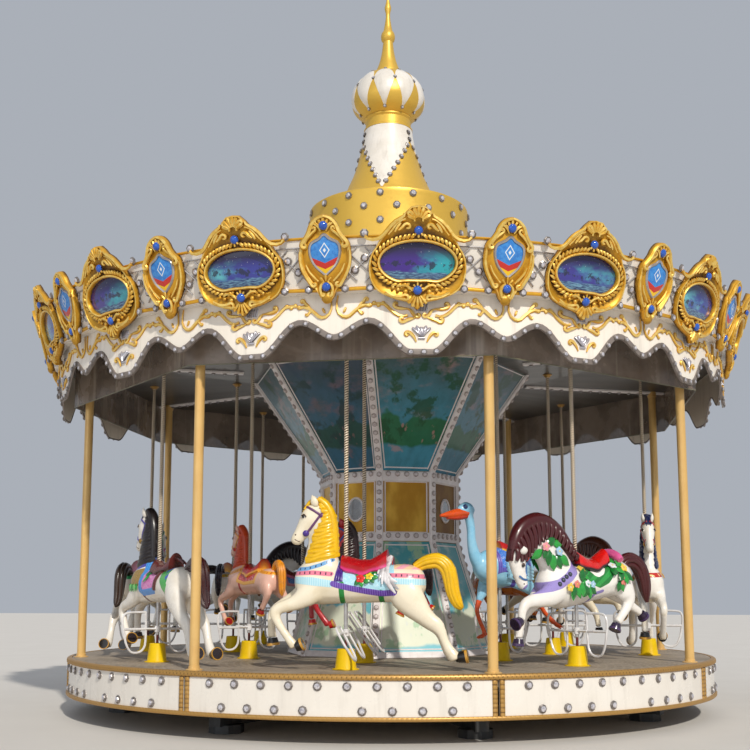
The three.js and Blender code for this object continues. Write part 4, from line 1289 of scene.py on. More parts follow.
def build_crown_lattice():
    """Thin silver rods crossing between the frames, two rosettes in each gap, and crystals on the gold
    lines."""
    centre, reach = 3.690, 0.118
    rods, rosettes = [], []
    for shift in (-0.160, 0.0, 0.160):
        for way in (-1, 1):
            low, high = max(-reach, shift - 0.128), min(reach, shift + 0.128)
            x = np.linspace(low, high, 3)
            rods.append(tube(on_crown(x, way * (x - shift), 0.009, centre), 0.0065, 5, up=CROWN_OUT))
    x = np.linspace(-reach, reach, 4)
    rods.append(tube(on_crown(x, 0.142, 0.008, centre), 0.006, 5, up=CROWN_OUT))
    for x, y in ((0.030, 0.045), (-0.048, -0.045)):
        rosettes.append(set_on_crown(crystal(0.033, 8), x, y, 0.002, centre))
    flip = np.diag([-1.0, 1.0, 1.0, 1.0])
    gaps = np.concatenate([turns(0.0755 + AT_HALVES), turns(-0.0755 + AT_HALVES) @ flip])
    make_piece("crown_lattice", spread(gather(rods), gaps), "silver rod", crease=60)
    foot = [spread(crystal(0.032), seats(polar(3.584, a, 3.502), polar(1.0, a, -0.1)))
            for a in np.radians((-5.4, -2.3, 2.3, 5.4))]
    top = [set_on_crown(crystal(0.034), x, 0.246, 0.03, OVAL_HEIGHT) for x in (-0.405, 0.405)]
    crystals = gather([spread(gather(rosettes), gaps), spread(gather(foot), turns(AT_HALVES)),
                       spread(gather(top), turns(OVAL_START + AT_HALVES))])
    make_buttons("crown_crystals", crystals)


def build_roof():
    """Sixteen gores with raised seams: the radius swells at each seam by a narrow bell curve."""
    sides = 16 * 12
    azimuth = np.arange(sides) * TURN / sides
    seam = np.exp(-((np.mod(azimuth + HALF_BAY / 2, HALF_BAY) - HALF_BAY / 2) / 0.012) ** 2)
    share = np.linspace(0, 1, 12)
    radius = 3.605 + (0.925 - 3.605) * share
    z = 3.8500 + (4.6890 - 3.8500) * share - 0.010 * np.sin(share * math.pi)
    radius = np.concatenate([[3.478, 3.478, 3.600], radius])
    z = np.concatenate([[3.5305, 3.5370, 3.8400], z])
    lift = np.concatenate([[0, 0, 0], 0.012 * np.sin(np.clip(share * 12, 0, 1) * math.pi / 2)])
    points = polar(radius[:, None], azimuth[None], z[:, None] + lift[:, None] * seam[None])
    make_piece("roof_gores", grid(points, wrap_cols=True, caps=True), "roof skin",
               stands_for=["roof"], crease=35)


def build_ceiling():
    """A rib with a row of bulbs under each seam, and a turned collar round each pole's head."""
    # The ceiling panels take the landscape finish, its colours darkened as painted shade
    wear("ceiling", "ceiling view in painted shade")
    length = np.linspace(1.60, 3.400, 3)
    section = np.array([(-0.036, 0.0), (-0.036, -0.016), (-0.026, -0.022), (0.026, -0.022), (0.036, -0.016),
                        (0.036, 0.0)])
    points = np.stack([np.broadcast_to(section[None, :, 0], (3, 6)),
                       np.broadcast_to(-length[:, None], (3, 6)),
                       np.broadcast_to(CEILING - 0.0006 + section[None, :, 1], (3, 6))], -1)
    rib = grid(points, wrap_cols=True, caps=True).mark(part=0)
    spots = np.arange(1.68, 3.12, 0.12)
    bulbs = spread(crystal(0.022), seats(polar(spots, 0.0, CEILING - 0.022), (0, 0, -1), (0, 1, 0)))
    bulbs.marks["part"] = bulbs.marks["part"] + 1
    ribs = spread(gather([rib, bulbs]), turns(AT_SEAMS))
    make_piece("ceiling_ribs", ribs, ["rib white", "crystal glass", "crystal cup"],
               crease=20, pick="part")
    collar = lathe([(0.021, 0.0), (0.050, 0.0), (0.050, 0.006), (0.034, 0.014), (0.028, 0.030),
                    (0.021, 0.030)], 20, closed=True).mark(relief=0.8)
    places = np.vstack([polar(row, AT_BAYS, CEILING - 0.0006) for row in (OUTER_ROW, INNER_ROW)])
    collars = spread(collar, seats(places, (0, 0, -1), (0, 1, 0)))
    make_piece("ceiling_collars", collars, "rim gold", crease=40)


# Centre housing


def on_side(x, share, radii, heights, depth):
    """A point on the flat side of the eight-sided housing whose middle is at azimuth 0: x across, share up
    the side."""
    x, share, depth = np.broadcast_arrays(x, share, depth)
    flat = math.cos(HALF_BAY)
    apothem = (radii[0] + (radii[1] - radii[0]) * share) * flat
    z = heights[0] + (heights[1] - heights[0]) * share
    lean = math.atan2((radii[1] - radii[0]) * flat, heights[1] - heights[0])
    return np.stack([x, -(apothem + depth * math.cos(lean)), z - depth * math.sin(lean)], -1)


def build_centre():
    """Painted cones, mirrored drum, and silver ribs and belts set with bulbs."""
    wear("centre_base", "lower view")
    wear("centre_drum", "amber mirror")
    wear("centre_cone", "upper view")
    drum = ((DRUM_RADIUS, DRUM_RADIUS), (DRUM_LOW, DRUM_HIGH))
    levels = [((BASE_RADIUS, DRUM_RADIUS), (0.5403, DRUM_LOW)), drum,
              ((DRUM_RADIUS, 1.500), (DRUM_HIGH, 3.4997))]
    sides = turns(AT_SEAMS)
    ribs, bulbs, mirrors = [], [], []
    for radii, heights in levels:
        z = np.linspace(heights[0], heights[1], 12)
        r = np.interp(z, heights, radii)
        width, depth = 0.037, 0.033
        section = np.array([(-1, 0.0), (-1, 0.62), (-0.72, 1.0), (0.72, 1.0), (1, 0.62), (1, 0.0)])
        x = section[None, :, 0] * width * np.ones((12, 1))
        out = r[:, None] - 0.008 + section[None, :, 1] * depth
        ribs.append(grid(np.stack([x, -out, np.broadcast_to(z[:, None], x.shape)], -1),
                         wrap_cols=True, caps=True))
        run = math.hypot(heights[1] - heights[0], radii[1] - radii[0])
        number = max(3, round(run / 0.095))
        share = (np.arange(number) + 0.5) / number
        zb = heights[0] + share * (heights[1] - heights[0])
        rb = radii[0] + share * (radii[1] - radii[0]) - 0.008 + depth
        lean = math.atan2(radii[1] - radii[0], heights[1] - heights[0])
        bulbs.append(spread(crystal(0.028, 6),
                            seats(polar(rb - 0.001, 0.0, zb), (0, -math.cos(lean), -math.sin(lean)))))
    ribs_all = spread(gather(ribs), turns(AT_BAYS))
    bulbs_all = [spread(gather(bulbs), turns(AT_BAYS))]
    flat = math.cos(HALF_BAY)
    belts = []
    for low, high, foot, spots in ((1.695, 1.783, 0.7305, 1.752), (2.304, 2.410, 0.7305, 2.380),
                                   (0.5403, 0.602, 1.0805, None)):
        shrink = (DRUM_RADIUS - BASE_RADIUS) / (DRUM_LOW - 0.540) if spots is None else 0.0
        top = foot + (high - low) * shrink
        profile = [(foot, low), (foot + 0.020, low), (foot + 0.026, low + 0.006), (top + 0.026, high - 0.006),
                   (top + 0.020, high), (top, high)]
        belts.append(lathe(profile, BAYS, closed=True))
        if spots:
            half = DRUM_RADIUS * math.sin(HALF_BAY)
            x = np.linspace(-half + 0.085, half - 0.085, 5)
            place = np.stack([x, np.full(5, -(foot + 0.026) * flat), np.full(5, spots)], -1)
            bulbs_all.append(spread(spread(crystal(0.029, 7), seats(place, (0, -1, 0))), sides))
    make_piece("centre_ribs_and_belts", gather([ribs_all, *belts]), "rib white",
               stands_for=["centre_ribs"], crease=35)
    make_buttons("centre_bulbs", gather(bulbs_all), "bulb")
    # Raised borders round each flat panel, and an oval mirror on every second drum side
    borders = []
    for (radii, heights), (low, high) in zip(levels, ((0.07, 0.97), (0.13, 0.845), (0.03, 0.985))):
        edge = []
        for share, sign in ((low, -1), (low, 1), (high, 1), (high, -1)):
            half = (radii[0] + (radii[1] - radii[0]) * share) * math.sin(HALF_BAY) - 0.058
            edge.append((sign * half, share))
        edge.append(edge[0])
        for (xa, sa), (xb, sb) in zip(edge[:-1], edge[1:]):
            t = np.linspace(-0.01, 1.01, 6)
            borders.append(tube(on_side(xa + (xb - xa) * t, sa + (sb - sa) * t, radii, heights, 0.002), 0.007,
                                6, up=(0, -1, 0), flat=0.8))
    make_piece("centre_panel_borders", spread(gather(borders), sides), "rib white",
               crease=60)
    t = np.arange(36) * TURN / 36
    ring = on_side(0.092 * np.cos(t), 0.46 + 0.118 * np.sin(t) / 0.725, *drum, 0.006)
    rim = tube(ring, 0.011, 8, up=(0, -1, 0), closed=True).mark(part=1)
    rings = np.array([1.0, 1.0, 0.5, 0.05])[:, None]
    disc = on_side(0.090 * np.cos(t)[None] * rings, 0.46 + 0.116 * np.sin(t)[None] / 0.725 * rings, *drum,
                   np.array([0.0003, 0.006, 0.008, 0.008])[:, None])
    glass = grid(disc, wrap_cols=True, caps=True).mark(part=0)
    make_piece("centre_oval_mirrors", spread(gather([rim, glass]), sides[1::2]), ["mirror oval", "rib white"],
               crease=50, pick="part")


# Dome

DOME_CONE = [(0.600, 5.3905), (0.515, 5.540), (0.441, 5.706), (0.388, 5.830), (0.346, 5.960), (0.310, 6.100),
             (0.282, 6.247), (0.268, 6.3485)]
ONION = [(0.262, 6.4925), (0.300, 6.520), (0.370, 6.582), (0.402, 6.640), (0.412, 6.700), (0.405, 6.780),
         (0.381, 6.850), (0.336, 6.925), (0.280, 6.985), (0.180, 7.0315)]
SPIRE = [(0.150, 7.0325), (0.144, 7.060), (0.135, 7.090), (0.108, 7.160), (0.087, 7.230), (0.068, 7.330),
         (0.056, 7.440), (0.074, 7.462), (0.080, 7.490), (0.080, 7.520), (0.072, 7.548), (0.051, 7.580),
         (0.040, 7.640), (0.031, 7.696), (0.024, 7.760), (0.026, 7.800), (0.037, 7.845), (0.037, 7.870),
         (0.028, 7.905), (0.018, 7.950), (0.010, 8.130), (0.004, 8.139)]


PANEL_APEX = 5.500
PANEL_SPREAD = 0.445


def profile_radius(profile, z):
    """Radius of a turned profile at a height."""
    profile = np.asarray(profile)
    return np.interp(z, profile[:, 1], profile[:, 0])


def panel_half(z):
    """Half the angle of a white triangle on the cone: its width grows with the height above its apex."""
    return PANEL_SPREAD * (z - PANEL_APEX) / profile_radius(DOME_CONE, z)


def build_dome(sizes):
    """The gold tower: a round foot with crystal rows, a hollow-sided cone, a plain band, a petalled bulb and
    a spire."""
    sides = 72
    drum = [(0.905, 4.6905), (0.905, 4.738), (0.896, 4.748), (0.882, 4.760), (0.880, 4.800), (0.882, 5.330),
            (0.886, 5.352), (0.882, 5.372), (0.866, 5.3825), (0.620, 5.3895)]
    cone = flow(DOME_CONE, 24)
    cone[:, 1] = np.clip(cone[:, 1], 5.3905, 6.3485)
    neck = [(0.275, 6.3498), (0.275, 6.366), (0.268, 6.374), (0.256, 6.380), (0.256, 6.462), (0.264, 6.472),
            (0.272, 6.480), (0.272, 6.4918)]
    bulb = flow(ONION, 30)
    bulb[:, 1] = np.clip(bulb[:, 1], 6.4925, 7.0315)
    for name, profile, slot, node in (("dome_gold_drum", drum, "dome_gold", "dome_drum"),
                                      ("dome_gold_cone", cone, "dome_gold", "dome_cone"),
                                      ("dome_neck_band", neck, "dome_gold", "neck_band"),
                                      ("dome_onion", bulb, "petal_white", "onion"),
                                      ("dome_spire", SPIRE, "dome_gold", "spire")):
        make_piece(name, lathe(profile, sides if name != "dome_spire" else 32).mark(relief=0.72), "dome gold",
                   stands_for=[node], crease=30)
    # White triangles, 4.5 mm proud of the cone
    z = np.linspace(5.520, 6.3485, 20)
    u = np.linspace(-1, 1, 13)
    half = np.minimum(panel_half(z), math.radians(59.4))
    front = polar((profile_radius(DOME_CONE, z) + 0.0045)[:, None], half[:, None] * u[None], z[:, None])
    back = polar((profile_radius(DOME_CONE, z) - 0.004)[:, None], half[:, None] * u[None], z[:, None])
    loop = np.concatenate([front, back[:, ::-1]], 1)
    panels = spread(grid(loop, wrap_cols=True, caps=True), turns(np.arange(3) * TURN / 3))
    # Petals: half width 18 degrees at the widest, a round top and a pointed foot
    s = np.linspace(0, 1, 20)
    zp = 6.515 + s * (7.005 - 6.515)
    width = np.where(s < 0.66, np.clip(s / 0.66, 0, 1) ** 0.85,
                     np.sqrt(np.clip(1 - ((s - 0.66) / 0.345) ** 2, 0, 1)))
    half = math.radians(17.6) * np.maximum(width, 0.02)
    bulge = 0.010 * np.cos(u * math.pi / 2) + 0.003
    radius = profile_radius(ONION, zp)[:, None]
    front = polar(radius + bulge[None] * np.maximum(width, 0.1)[:, None] + 0.002, half[:, None] * u[None],
                  zp[:, None])
    back = polar(np.broadcast_to(radius - 0.006, front.shape[:2]), half[:, None] * u[None], zp[:, None])
    petal = grid(np.concatenate([front, back[:, ::-1]], 1), wrap_cols=True, caps=True)
    petals = spread(petal, turns(np.arange(10) * TURN / 10 + 0.02))
    make_piece("dome_white_panels", gather([panels, petals]), "petal white", crease=40)
    rows = []
    for row, zr in enumerate((4.86, 5.02, 5.18, 5.315)):
        a = (np.arange(16) + 0.5 * ((row + 1) % 2)) * TURN / 16 + 0.037
        rows.append((polar(0.8825, a, zr), polar(1.0, a, 0.0), np.full(16, 1.55)))
    zt = np.linspace(5.590, 6.28, 9)
    spread_half = panel_half(zt)
    keep = spread_half < math.radians(59)
    for side in (-1, 1):
        for k in range(3):
            a = side * np.where(keep, spread_half, math.radians(60)) + k * TURN / 3
            place = polar(profile_radius(DOME_CONE, zt) + 0.003, a, zt)
            rows.append((place, polar(1.0, a, 0.35), np.full(len(zt), 1.2)))
    a = np.arange(10) * TURN / 10 + 0.02
    for shift, zo, tilt in ((0.5, 6.84, 0.4), (0.0, 6.53, -0.6), (0.0, 7.000, 1.2)):
        at = a + shift * TURN / 10
        rows.append((polar(profile_radius(ONION, zo) + 0.006, at, zo), polar(1.0, at, tilt),
                     np.full(10, 0.8)))
    places, outs, scales = (np.concatenate(row) for row in zip(*rows))
    made = spread(crystal(sizes.crystal_radius), seats(places, outs, size=scales))
    make_buttons("dome_crystals", made)


# Animals
# A figure's own frame: forward, out (away from the carousel's middle) and up from the deck, with its pole
# at the origin.


def limb(rows, sides=14, steps=26):
    """A rounded limb: rows of forward, out, height, half depth and half width in millimetres, joined by
    smooth lines."""
    line = flow(np.asarray(rows, float) / 1000, steps)
    depth, width = np.maximum(line[:, 3], 0.003), np.maximum(line[:, 4], 0.003)
    return tube(line[:, :3], depth, sides, up=(0, 1, 0), flat=width / depth)


def fused(shapes, voxel, softening):
    """The shapes grown together into one skin: remeshed on a fine raster, then softened."""
    mesh = mesh_from("figure work", gather(shapes))
    work = bpy.data.objects.new("figure work", mesh)
    bpy.context.scene.collection.objects.link(work)
    grow = work.modifiers.new("grow together", "REMESH")
    grow.mode, grow.voxel_size = "VOXEL", voxel
    soften = work.modifiers.new("soften", "SMOOTH")
    soften.factor, soften.iterations = 0.5, softening
    seen = work.evaluated_get(bpy.context.evaluated_depsgraph_get())
    done = seen.to_mesh()
    done.calc_loop_triangles()
    points = np.empty(len(done.vertices) * 3, np.float32)
    done.vertices.foreach_get("co", points)
    tris = np.empty(len(done.loop_triangles) * 3, np.int32)
    done.loop_triangles.foreach_get("vertices", tris)
    seen.to_mesh_clear()
    bpy.data.objects.remove(work)
    bpy.data.meshes.remove(mesh)
    return Shape(points, tris=tris)


class Skin:
    """How far out a figure's side reaches at each place of its side view, kept on a raster of 12 mm cells."""

    def __init__(self, shape, cell=0.012):
        points = shape.points[shape.points[:, 1] > 0]
        self.cell, self.corner = cell, points[:, (0, 2)].min(0) - 3 * cell
        spot = np.rint((points[:, (0, 2)] - self.corner) / cell).astype(int)
        field = np.zeros(spot.max(0) + 4)
        np.maximum.at(field, (spot[:, 0], spot[:, 1]), points[:, 1])
        for _ in range(3):
            near = np.stack([np.roll(field, step, axis) for axis in (0, 1) for step in (-1, 1)])
            known = (near > 0).sum(0)
            mean = near.sum(0) / np.maximum(known, 1)
            field = np.where((field == 0) & (known > 1), mean,
                             np.where(known == 4, np.maximum(field, mean * 0.97), field))
        self.field = field

    def out(self, forward, height):
        """Bilinear reading of the raster at these places."""
        forward, height = np.broadcast_arrays(forward, height)
        at = (np.stack([forward, height], -1) - self.corner) / self.cell
        at = np.clip(at, 0, np.array(self.field.shape) - 1.001)
        i, f = at.astype(int), at - at.astype(int)
        a, b = self.field[i[..., 0], i[..., 1]], self.field[i[..., 0] + 1, i[..., 1]]
        c, d = self.field[i[..., 0], i[..., 1] + 1], self.field[i[..., 0] + 1, i[..., 1] + 1]
        low, high = a + (b - a) * f[..., 0], c + (d - c) * f[..., 0]
        return low + (high - low) * f[..., 1]

    def place(self, line, lift=0.0):
        """A side view line (forward, height) laid on the skin with this lift."""
        line = np.asarray(line, float)
        return np.stack([line[..., 0], self.out(line[..., 0], line[..., 1]) + lift, line[..., 1]], -1)

    def facing(self, forward, height, step=0.03):
        """The outward direction of the skin there, from its slopes over 30 mm each way."""
        across = (self.out(forward + step, height) - self.out(forward - step, height)) / (2 * step)
        along = (self.out(forward, height + step) - self.out(forward, height - step)) / (2 * step)
        return unit(np.stack([-across, np.ones_like(across), -along], -1))


def both_sides(shape):
    """A shape and its mirror image on the other side of the figure."""
    return gather([shape, shape.at(shape.points * (1, -1, 1))])


def tinted(shape, colour):
    """Keeps a paint colour on the shape's points."""
    red, green, blue = shade(colour)
    return shape.mark(red=red, green=green, blue=blue)


TRUNK = [(-668, 0, 705, 40, 30), (-636, 0, 705, 105, 95), (-560, 0, 705, 150, 140), (-450, 0, 703, 160, 156),
         (-300, 0, 695, 150, 153), (-120, 0, 690, 150, 150), (60, 0, 692, 158, 152), (200, 0, 705, 180, 154),
         (320, 0, 725, 172, 138), (396, 0, 735, 118, 96), (430, 0, 738, 50, 40)]
HIGH_NECK = [(180, 0, 760, 175, 120), (205, 0, 860, 158, 96), (203, 0, 960, 136, 78), (196, 0, 1090, 116, 66),
             (200, 0, 1220, 98, 58), (220, 0, 1310, 74, 50), (236, 0, 1350, 40, 36)]
HIGH_HEAD = [(238, 0, 1352, 42, 36), (268, 0, 1312, 74, 56), (304, 0, 1250, 88, 68), (346, 0, 1182, 74, 54),
             (388, 0, 1116, 60, 44), (418, 0, 1072, 55, 42), (436, 0, 1044, 44, 36), (444, 0, 1030, 22, 20)]
LOW_NECK = [(180, 0, 725, 178, 120), (250, 0, 850, 165, 104), (335, 0, 950, 142, 88), (430, 0, 1015, 118, 74),
            (530, 0, 1035, 100, 62), (615, 0, 1010, 86, 56), (660, 0, 975, 60, 48)]
LOW_HEAD = [(655, 0, 1010, 50, 40), (688, 0, 965, 78, 58), (700, 0, 900, 86, 67), (690, 0, 825, 72, 54),
            (668, 0, 755, 60, 44), (645, 0, 705, 54, 42), (630, 0, 670, 42, 36), (624, 0, 655, 20, 20)]
BACK_HIND = [(-470, 80, 690, 112, 70), (-510, 88, 620, 136, 74), (-567, 92, 545, 122, 66),
             (-659, 96, 443, 80, 54), (-720, 98, 392, 68, 46), (-762, 98, 362, 64, 42),
             (-800, 98, 305, 45, 38), (-825, 98, 238, 39, 35), (-862, 98, 166, 47, 41),
             (-900, 98, 116, 53, 46), (-915, 98, 92, 44, 42)]
FOLDED_FORE = [(230, 80, 670, 118, 70), (320, 88, 600, 95, 62), (400, 92, 548, 68, 52),
               (480, 95, 520, 56, 46), (548, 96, 500, 50, 42), (584, 96, 462, 46, 40), (566, 96, 410, 40, 36),
               (538, 96, 360, 36, 34), (505, 96, 312, 35, 33), (462, 96, 254, 37, 34), (430, 96, 214, 42, 38),
               (415, 96, 190, 42, 39), (410, 96, 180, 36, 36)]
DOWN_FORE = [(250, 80, 700, 112, 68), (340, 88, 650, 100, 60), (440, 92, 590, 69, 51), (545, 95, 535, 54, 44),
             (618, 96, 486, 48, 40), (650, 96, 430, 42, 36), (654, 96, 350, 35, 32), (648, 96, 292, 38, 34),
             (644, 96, 254, 38, 36)]
REACHING_FORE = [(250, 80, 690, 122, 72), (400, 90, 612, 104, 64), (530, 95, 575, 74, 54),
                 (640, 96, 556, 58, 46), (712, 97, 530, 50, 42), (744, 97, 480, 42, 37),
                 (754, 97, 432, 36, 33), (760, 97, 402, 38, 36)]
LOWER_FORE = [(250, 80, 690, 114, 70), (340, 88, 620, 99, 61), (430, 92, 540, 69, 51), (510, 95, 470, 52, 44),
              (562, 96, 410, 46, 40), (586, 96, 340, 37, 34), (600, 96, 275, 36, 33), (606, 96, 246, 38, 35)]
TUCKED_HIND = [(-470, 80, 700, 118, 72), (-538, 92, 630, 114, 66), (-590, 97, 580, 80, 52),
               (-586, 98, 528, 56, 44), (-546, 98, 470, 44, 38), (-502, 98, 412, 41, 36),
               (-464, 98, 366, 43, 40)]
PRANCE_TRUNK = [(-668, 0, 785, 40, 30), (-636, 0, 782, 105, 95), (-560, 0, 772, 152, 140),
                (-450, 0, 758, 162, 156), (-300, 0, 732, 155, 153), (-120, 0, 705, 160, 152),
                (60, 0, 688, 175, 154), (200, 0, 682, 192, 156), (330, 0, 692, 178, 140),
                (410, 0, 702, 125, 98), (446, 0, 706, 50, 40)]
PRANCE_TUCKED = [(-470, 80, 740, 125, 74), (-530, 92, 650, 112, 66), (-570, 97, 590, 80, 52),
                 (-560, 98, 530, 56, 44), (-515, 98, 470, 44, 38), (-455, 98, 410, 41, 36),
                 (-410, 98, 362, 43, 40)]
PRANCE_TRAILING = [(-470, 80, 735, 120, 72), (-580, 92, 670, 110, 64), (-690, 96, 600, 78, 52),
                   (-780, 98, 545, 56, 44), (-850, 98, 500, 46, 38), (-925, 98, 462, 42, 37),
                   (-955, 98, 447, 43, 40)]
TRAILING_HIND = [(-470, 80, 700, 114, 70), (-552, 92, 612, 104, 62), (-630, 96, 542, 72, 50),
                 (-682, 98, 500, 54, 42), (-716, 98, 452, 43, 37), (-742, 98, 410, 43, 40)]
FAR_SIDE = np.array([1, -1, 1, 1, 1])


def hoof(start, end, colour, band, radius=0.044):
    """A hoof along a line: it widens to its sole, which a gold shoe rims."""
    start, end = np.asarray(start, float) / 1000, np.asarray(end, float) / 1000
    length = np.linalg.norm(end - start)
    wall = lathe([(radius * 0.9, 0.0), (radius * 1.0, length * 0.3), (radius * 1.22, length * 0.94),
                  (radius * 1.16, length)], 14)
    ring = lathe([(radius * 1.10, length - 0.020), (radius * 1.25, length - 0.018),
                  (radius * 1.27, length + 0.002), (radius * 1.10, length + 0.002)], 14, closed=True)
    place = seats(start, end - start, (0, 1, 0.2))
    return gather([spread(tinted(wall, colour), place), spread(tinted(ring, band), place)])


def ear(base, tip, radius, spread_out):
    """A leaf shaped ear: a flattened taper from base to tip, mirrored."""
    base, tip = np.asarray(base, float) / 1000, np.asarray(tip, float) / 1000
    t = np.linspace(0, 1, 9)[:, None]
    path = base + (tip - base) * t + np.array([0, spread_out, 0]) * np.sin(t * math.pi)
    width = radius * np.sin(np.clip(0.24 + 0.76 * t[:, 0], 0, 1) * math.pi) ** 1.15 + 0.002
    return both_sides(tube(path, width, 10, up=(0.3, 1, 0), flat=0.55))


def locks(skin, front, back, count, radius, wave=0.008, lift=0.004, fade=0.5, flat=0.72):
    """Carved wavy locks from a front edge to a back edge of the side view, one under another, on both
    sides."""
    t = np.linspace(0, 1, count)
    starts, ends = even(flow(front, 60), count), even(flow(back, 60), count)
    s = np.linspace(0, 1, 8)
    made = []
    for k in range(count):
        line = starts[k] + (ends[k] - starts[k]) * s[:, None]
        run = unit(ends[k] - starts[k])
        across = np.array([-run[1], run[0]])
        line = line + across * (wave * np.sin(s * 9.0 + k * 1.3) + 0.010 * np.sin(s * math.pi))[:, None]
        swell = np.sin(np.clip(s * 0.86 + 0.1, 0, 1) * math.pi) ** 0.6
        taper = radius * (fade + (1 - fade) * swell) * (1 + 0.12 * math.sin(k * 2.4))
        made.append(tube(skin.place(line, lift), taper, 6, up=(0, 1, 0), flat=flat))
    return both_sides(gather(made))


def strands(path, radius, count=6, sides=6, steps=18, width=0.8):
    """A bundle of tapering strands carried along a path: each strand's centre turns slowly round it."""
    rows = np.column_stack([np.asarray(path, float) / 1000, np.asarray(radius, float) / 1000])
    line = flow(rows, steps)
    points = np.stack([line[:, 0], np.zeros(steps), line[:, 1]], -1)
    ahead = unit(np.gradient(points, axis=0))
    side = np.cross(ahead, (0, 1, 0))
    s = np.linspace(0, 1, steps)
    made = []
    for k in range(count):
        a = TURN * k / count + 0.5 * np.sin(s * 3 + k)
        ring = np.cos(a)[:, None] * side + width * np.sin(a)[:, None] * np.array([0, 1, 0])
        made.append(tube(points + 0.58 * line[:, 2:3] * ring, 0.43 * line[:, 2] * (1 + 0.1 * math.sin(k * 5)),
                         sides, up=(0, 1, 0)))
    made.append(tube(points, 0.6 * line[:, 2], sides, up=(0, 1, 0)))
    return gather(made)


def over_back(forward, angle, lift, trunk=TRUNK):
    """A point of the trunk's surface: its oval section at this place along it, at an angle from the top, with
    a lift."""
    rows = np.asarray(trunk, float) / 1000
    centre, depth, width = (np.interp(forward, rows[:, 0], rows[:, k]) for k in (2, 3, 4))
    return np.stack(np.broadcast_arrays(forward, (width + lift) * np.sin(angle), centre + (depth + lift)
                                        * np.cos(angle)), -1)


SADDLE_TOPS = (0.918, 0.915, 0.884, 0.880, 0.930, 0.968)


def saddle(colour, edge, flap=1.05, pommel=0.030, cantle=-0.352, tops=SADDLE_TOPS, trunk=TRUNK):
    """A saddle: across it the angle from the top runs out to its flaps; along it the height rises to pommel
    and cantle."""
    s = np.linspace(0, 1, 17)[:, None]
    t = np.array([-1, -.96, -.92, -.8, -.64, -.48, -.32, -.16, 0, .16, .32, .48, .64, .8, .92, .96, 1])[None]
    forward = pommel + (cantle - pommel) * s
    top = np.interp(s, [0, 0.08, 0.36, 0.62, 0.86, 1.0], tops)
    bare = over_back(forward, 0 * s, 0.0, trunk)[..., 2]
    reach = flap * (0.62 + 0.38 * np.sin(np.clip(s * 1.1, 0, 1) * math.pi) + 0.05 * np.sin(s * 16))
    rise = (top - bare) * np.cos(t * math.pi / 2) ** 1.3 + 0.020
    upper = over_back(forward, t * reach, rise, trunk)
    lower = over_back(forward, t * reach, -0.012, trunk)
    border = smoothstep(0.84, 0.89, np.abs(t)) * np.ones_like(s)
    loop = np.concatenate([upper, lower[:, ::-1]], 1)
    share = np.concatenate([border, np.ones_like(border)], 1)
    shape = grid(loop, wrap_cols=True, caps=True)
    share = np.concatenate([share.ravel(), [1, 1]])
    paint = zip(("red", "green", "blue"), shade(colour), shade(edge))
    paint = {key: middle * (1 - share) + rim * share for key, middle, rim in paint}
    return shape.mark(**paint)


def feathers(skin, root, tips, radius, colour, lift=0.012):
    """Wing feathers: flattened tapers from one root to each tip, laid like tiles, on both sides."""
    made = []
    for k, tip in enumerate(tips):
        s = np.linspace(0, 1, 9)[:, None]
        line = np.asarray(root) + (np.asarray(tip) - np.asarray(root)) * s
        bend = unit(np.asarray(tip) - np.asarray(root))
        line = line + np.array([-bend[1], bend[0]]) * 0.018 * np.sin(s * math.pi)
        width = radius * np.sin(np.clip(0.14 + 0.80 * s[:, 0], 0, 1) * math.pi) ** 0.6
        made.append(tube(skin.place(line, lift + 0.002 * k), width, 7, up=(0, 1, 0), flat=0.45))
    return tinted(both_sides(gather(made)), colour)


def strap_on(skin, points, radius, colour, lift=0.002, flat=0.5, steps=13):
    """A flat strap through side view points, laid on the skin on both sides."""
    line = flow(points, steps)
    return tinted(both_sides(tube(skin.place(line, lift), radius, 6, up=(0, 1, 0), flat=flat)), colour)


def button_on(skin, places, radius, colour, lift=0.004):
    """Domed buttons on the skin at side view places, on both sides."""
    places = np.atleast_2d(np.asarray(places, float))
    outs = skin.facing(places[:, 0], places[:, 1])
    made = spread(gem(radius, 9), seats(skin.place(places, lift), outs, (1, 0, 0)))
    return tinted(both_sides(made), colour)


def flowers_on(skin, rows, lift=0.012):
    """Open flowers on the skin: rows of forward, height, radius, petal colour and heart colour. A petal's
    edge swells by |cos|."""
    made = []
    for forward, height, radius, colour, heart in rows:
        a = np.arange(20) * TURN / 20
        edge = radius * (0.72 + 0.28 * np.abs(np.cos(a * 2.5)))
        share = np.array([0.05, 0.6, 1.0, 0.9])[:, None]
        rise = radius * np.array([0.12, 0.30, 0.14, -0.06])[:, None]
        points = np.stack(np.broadcast_arrays(edge * share * np.cos(a), edge * share * np.sin(a), rise), -1)
        petals = tinted(grid(points, wrap_cols=True, caps=True), colour)
        middle = tinted(gem(radius * 0.28, 7, 2), heart)
        middle = spread(middle, seats((0, 0, radius * 0.12), (0, 0, 1), (0, 1, 0)))
        here = np.array([[forward, height]])
        made.append(spread(gather([petals, middle]),
                           seats(skin.place(here, lift), skin.facing(here[:, 0], here[:, 1]), (1, 0, 0.2))))
    return both_sides(gather(made))


def leaf_rows(*sprays):
    """Rows for leaves_on from sprays of forward, height, length and one or more angles."""
    return [(forward, height, angle, length) for forward, height, length, *angles in sprays
            for angle in angles]


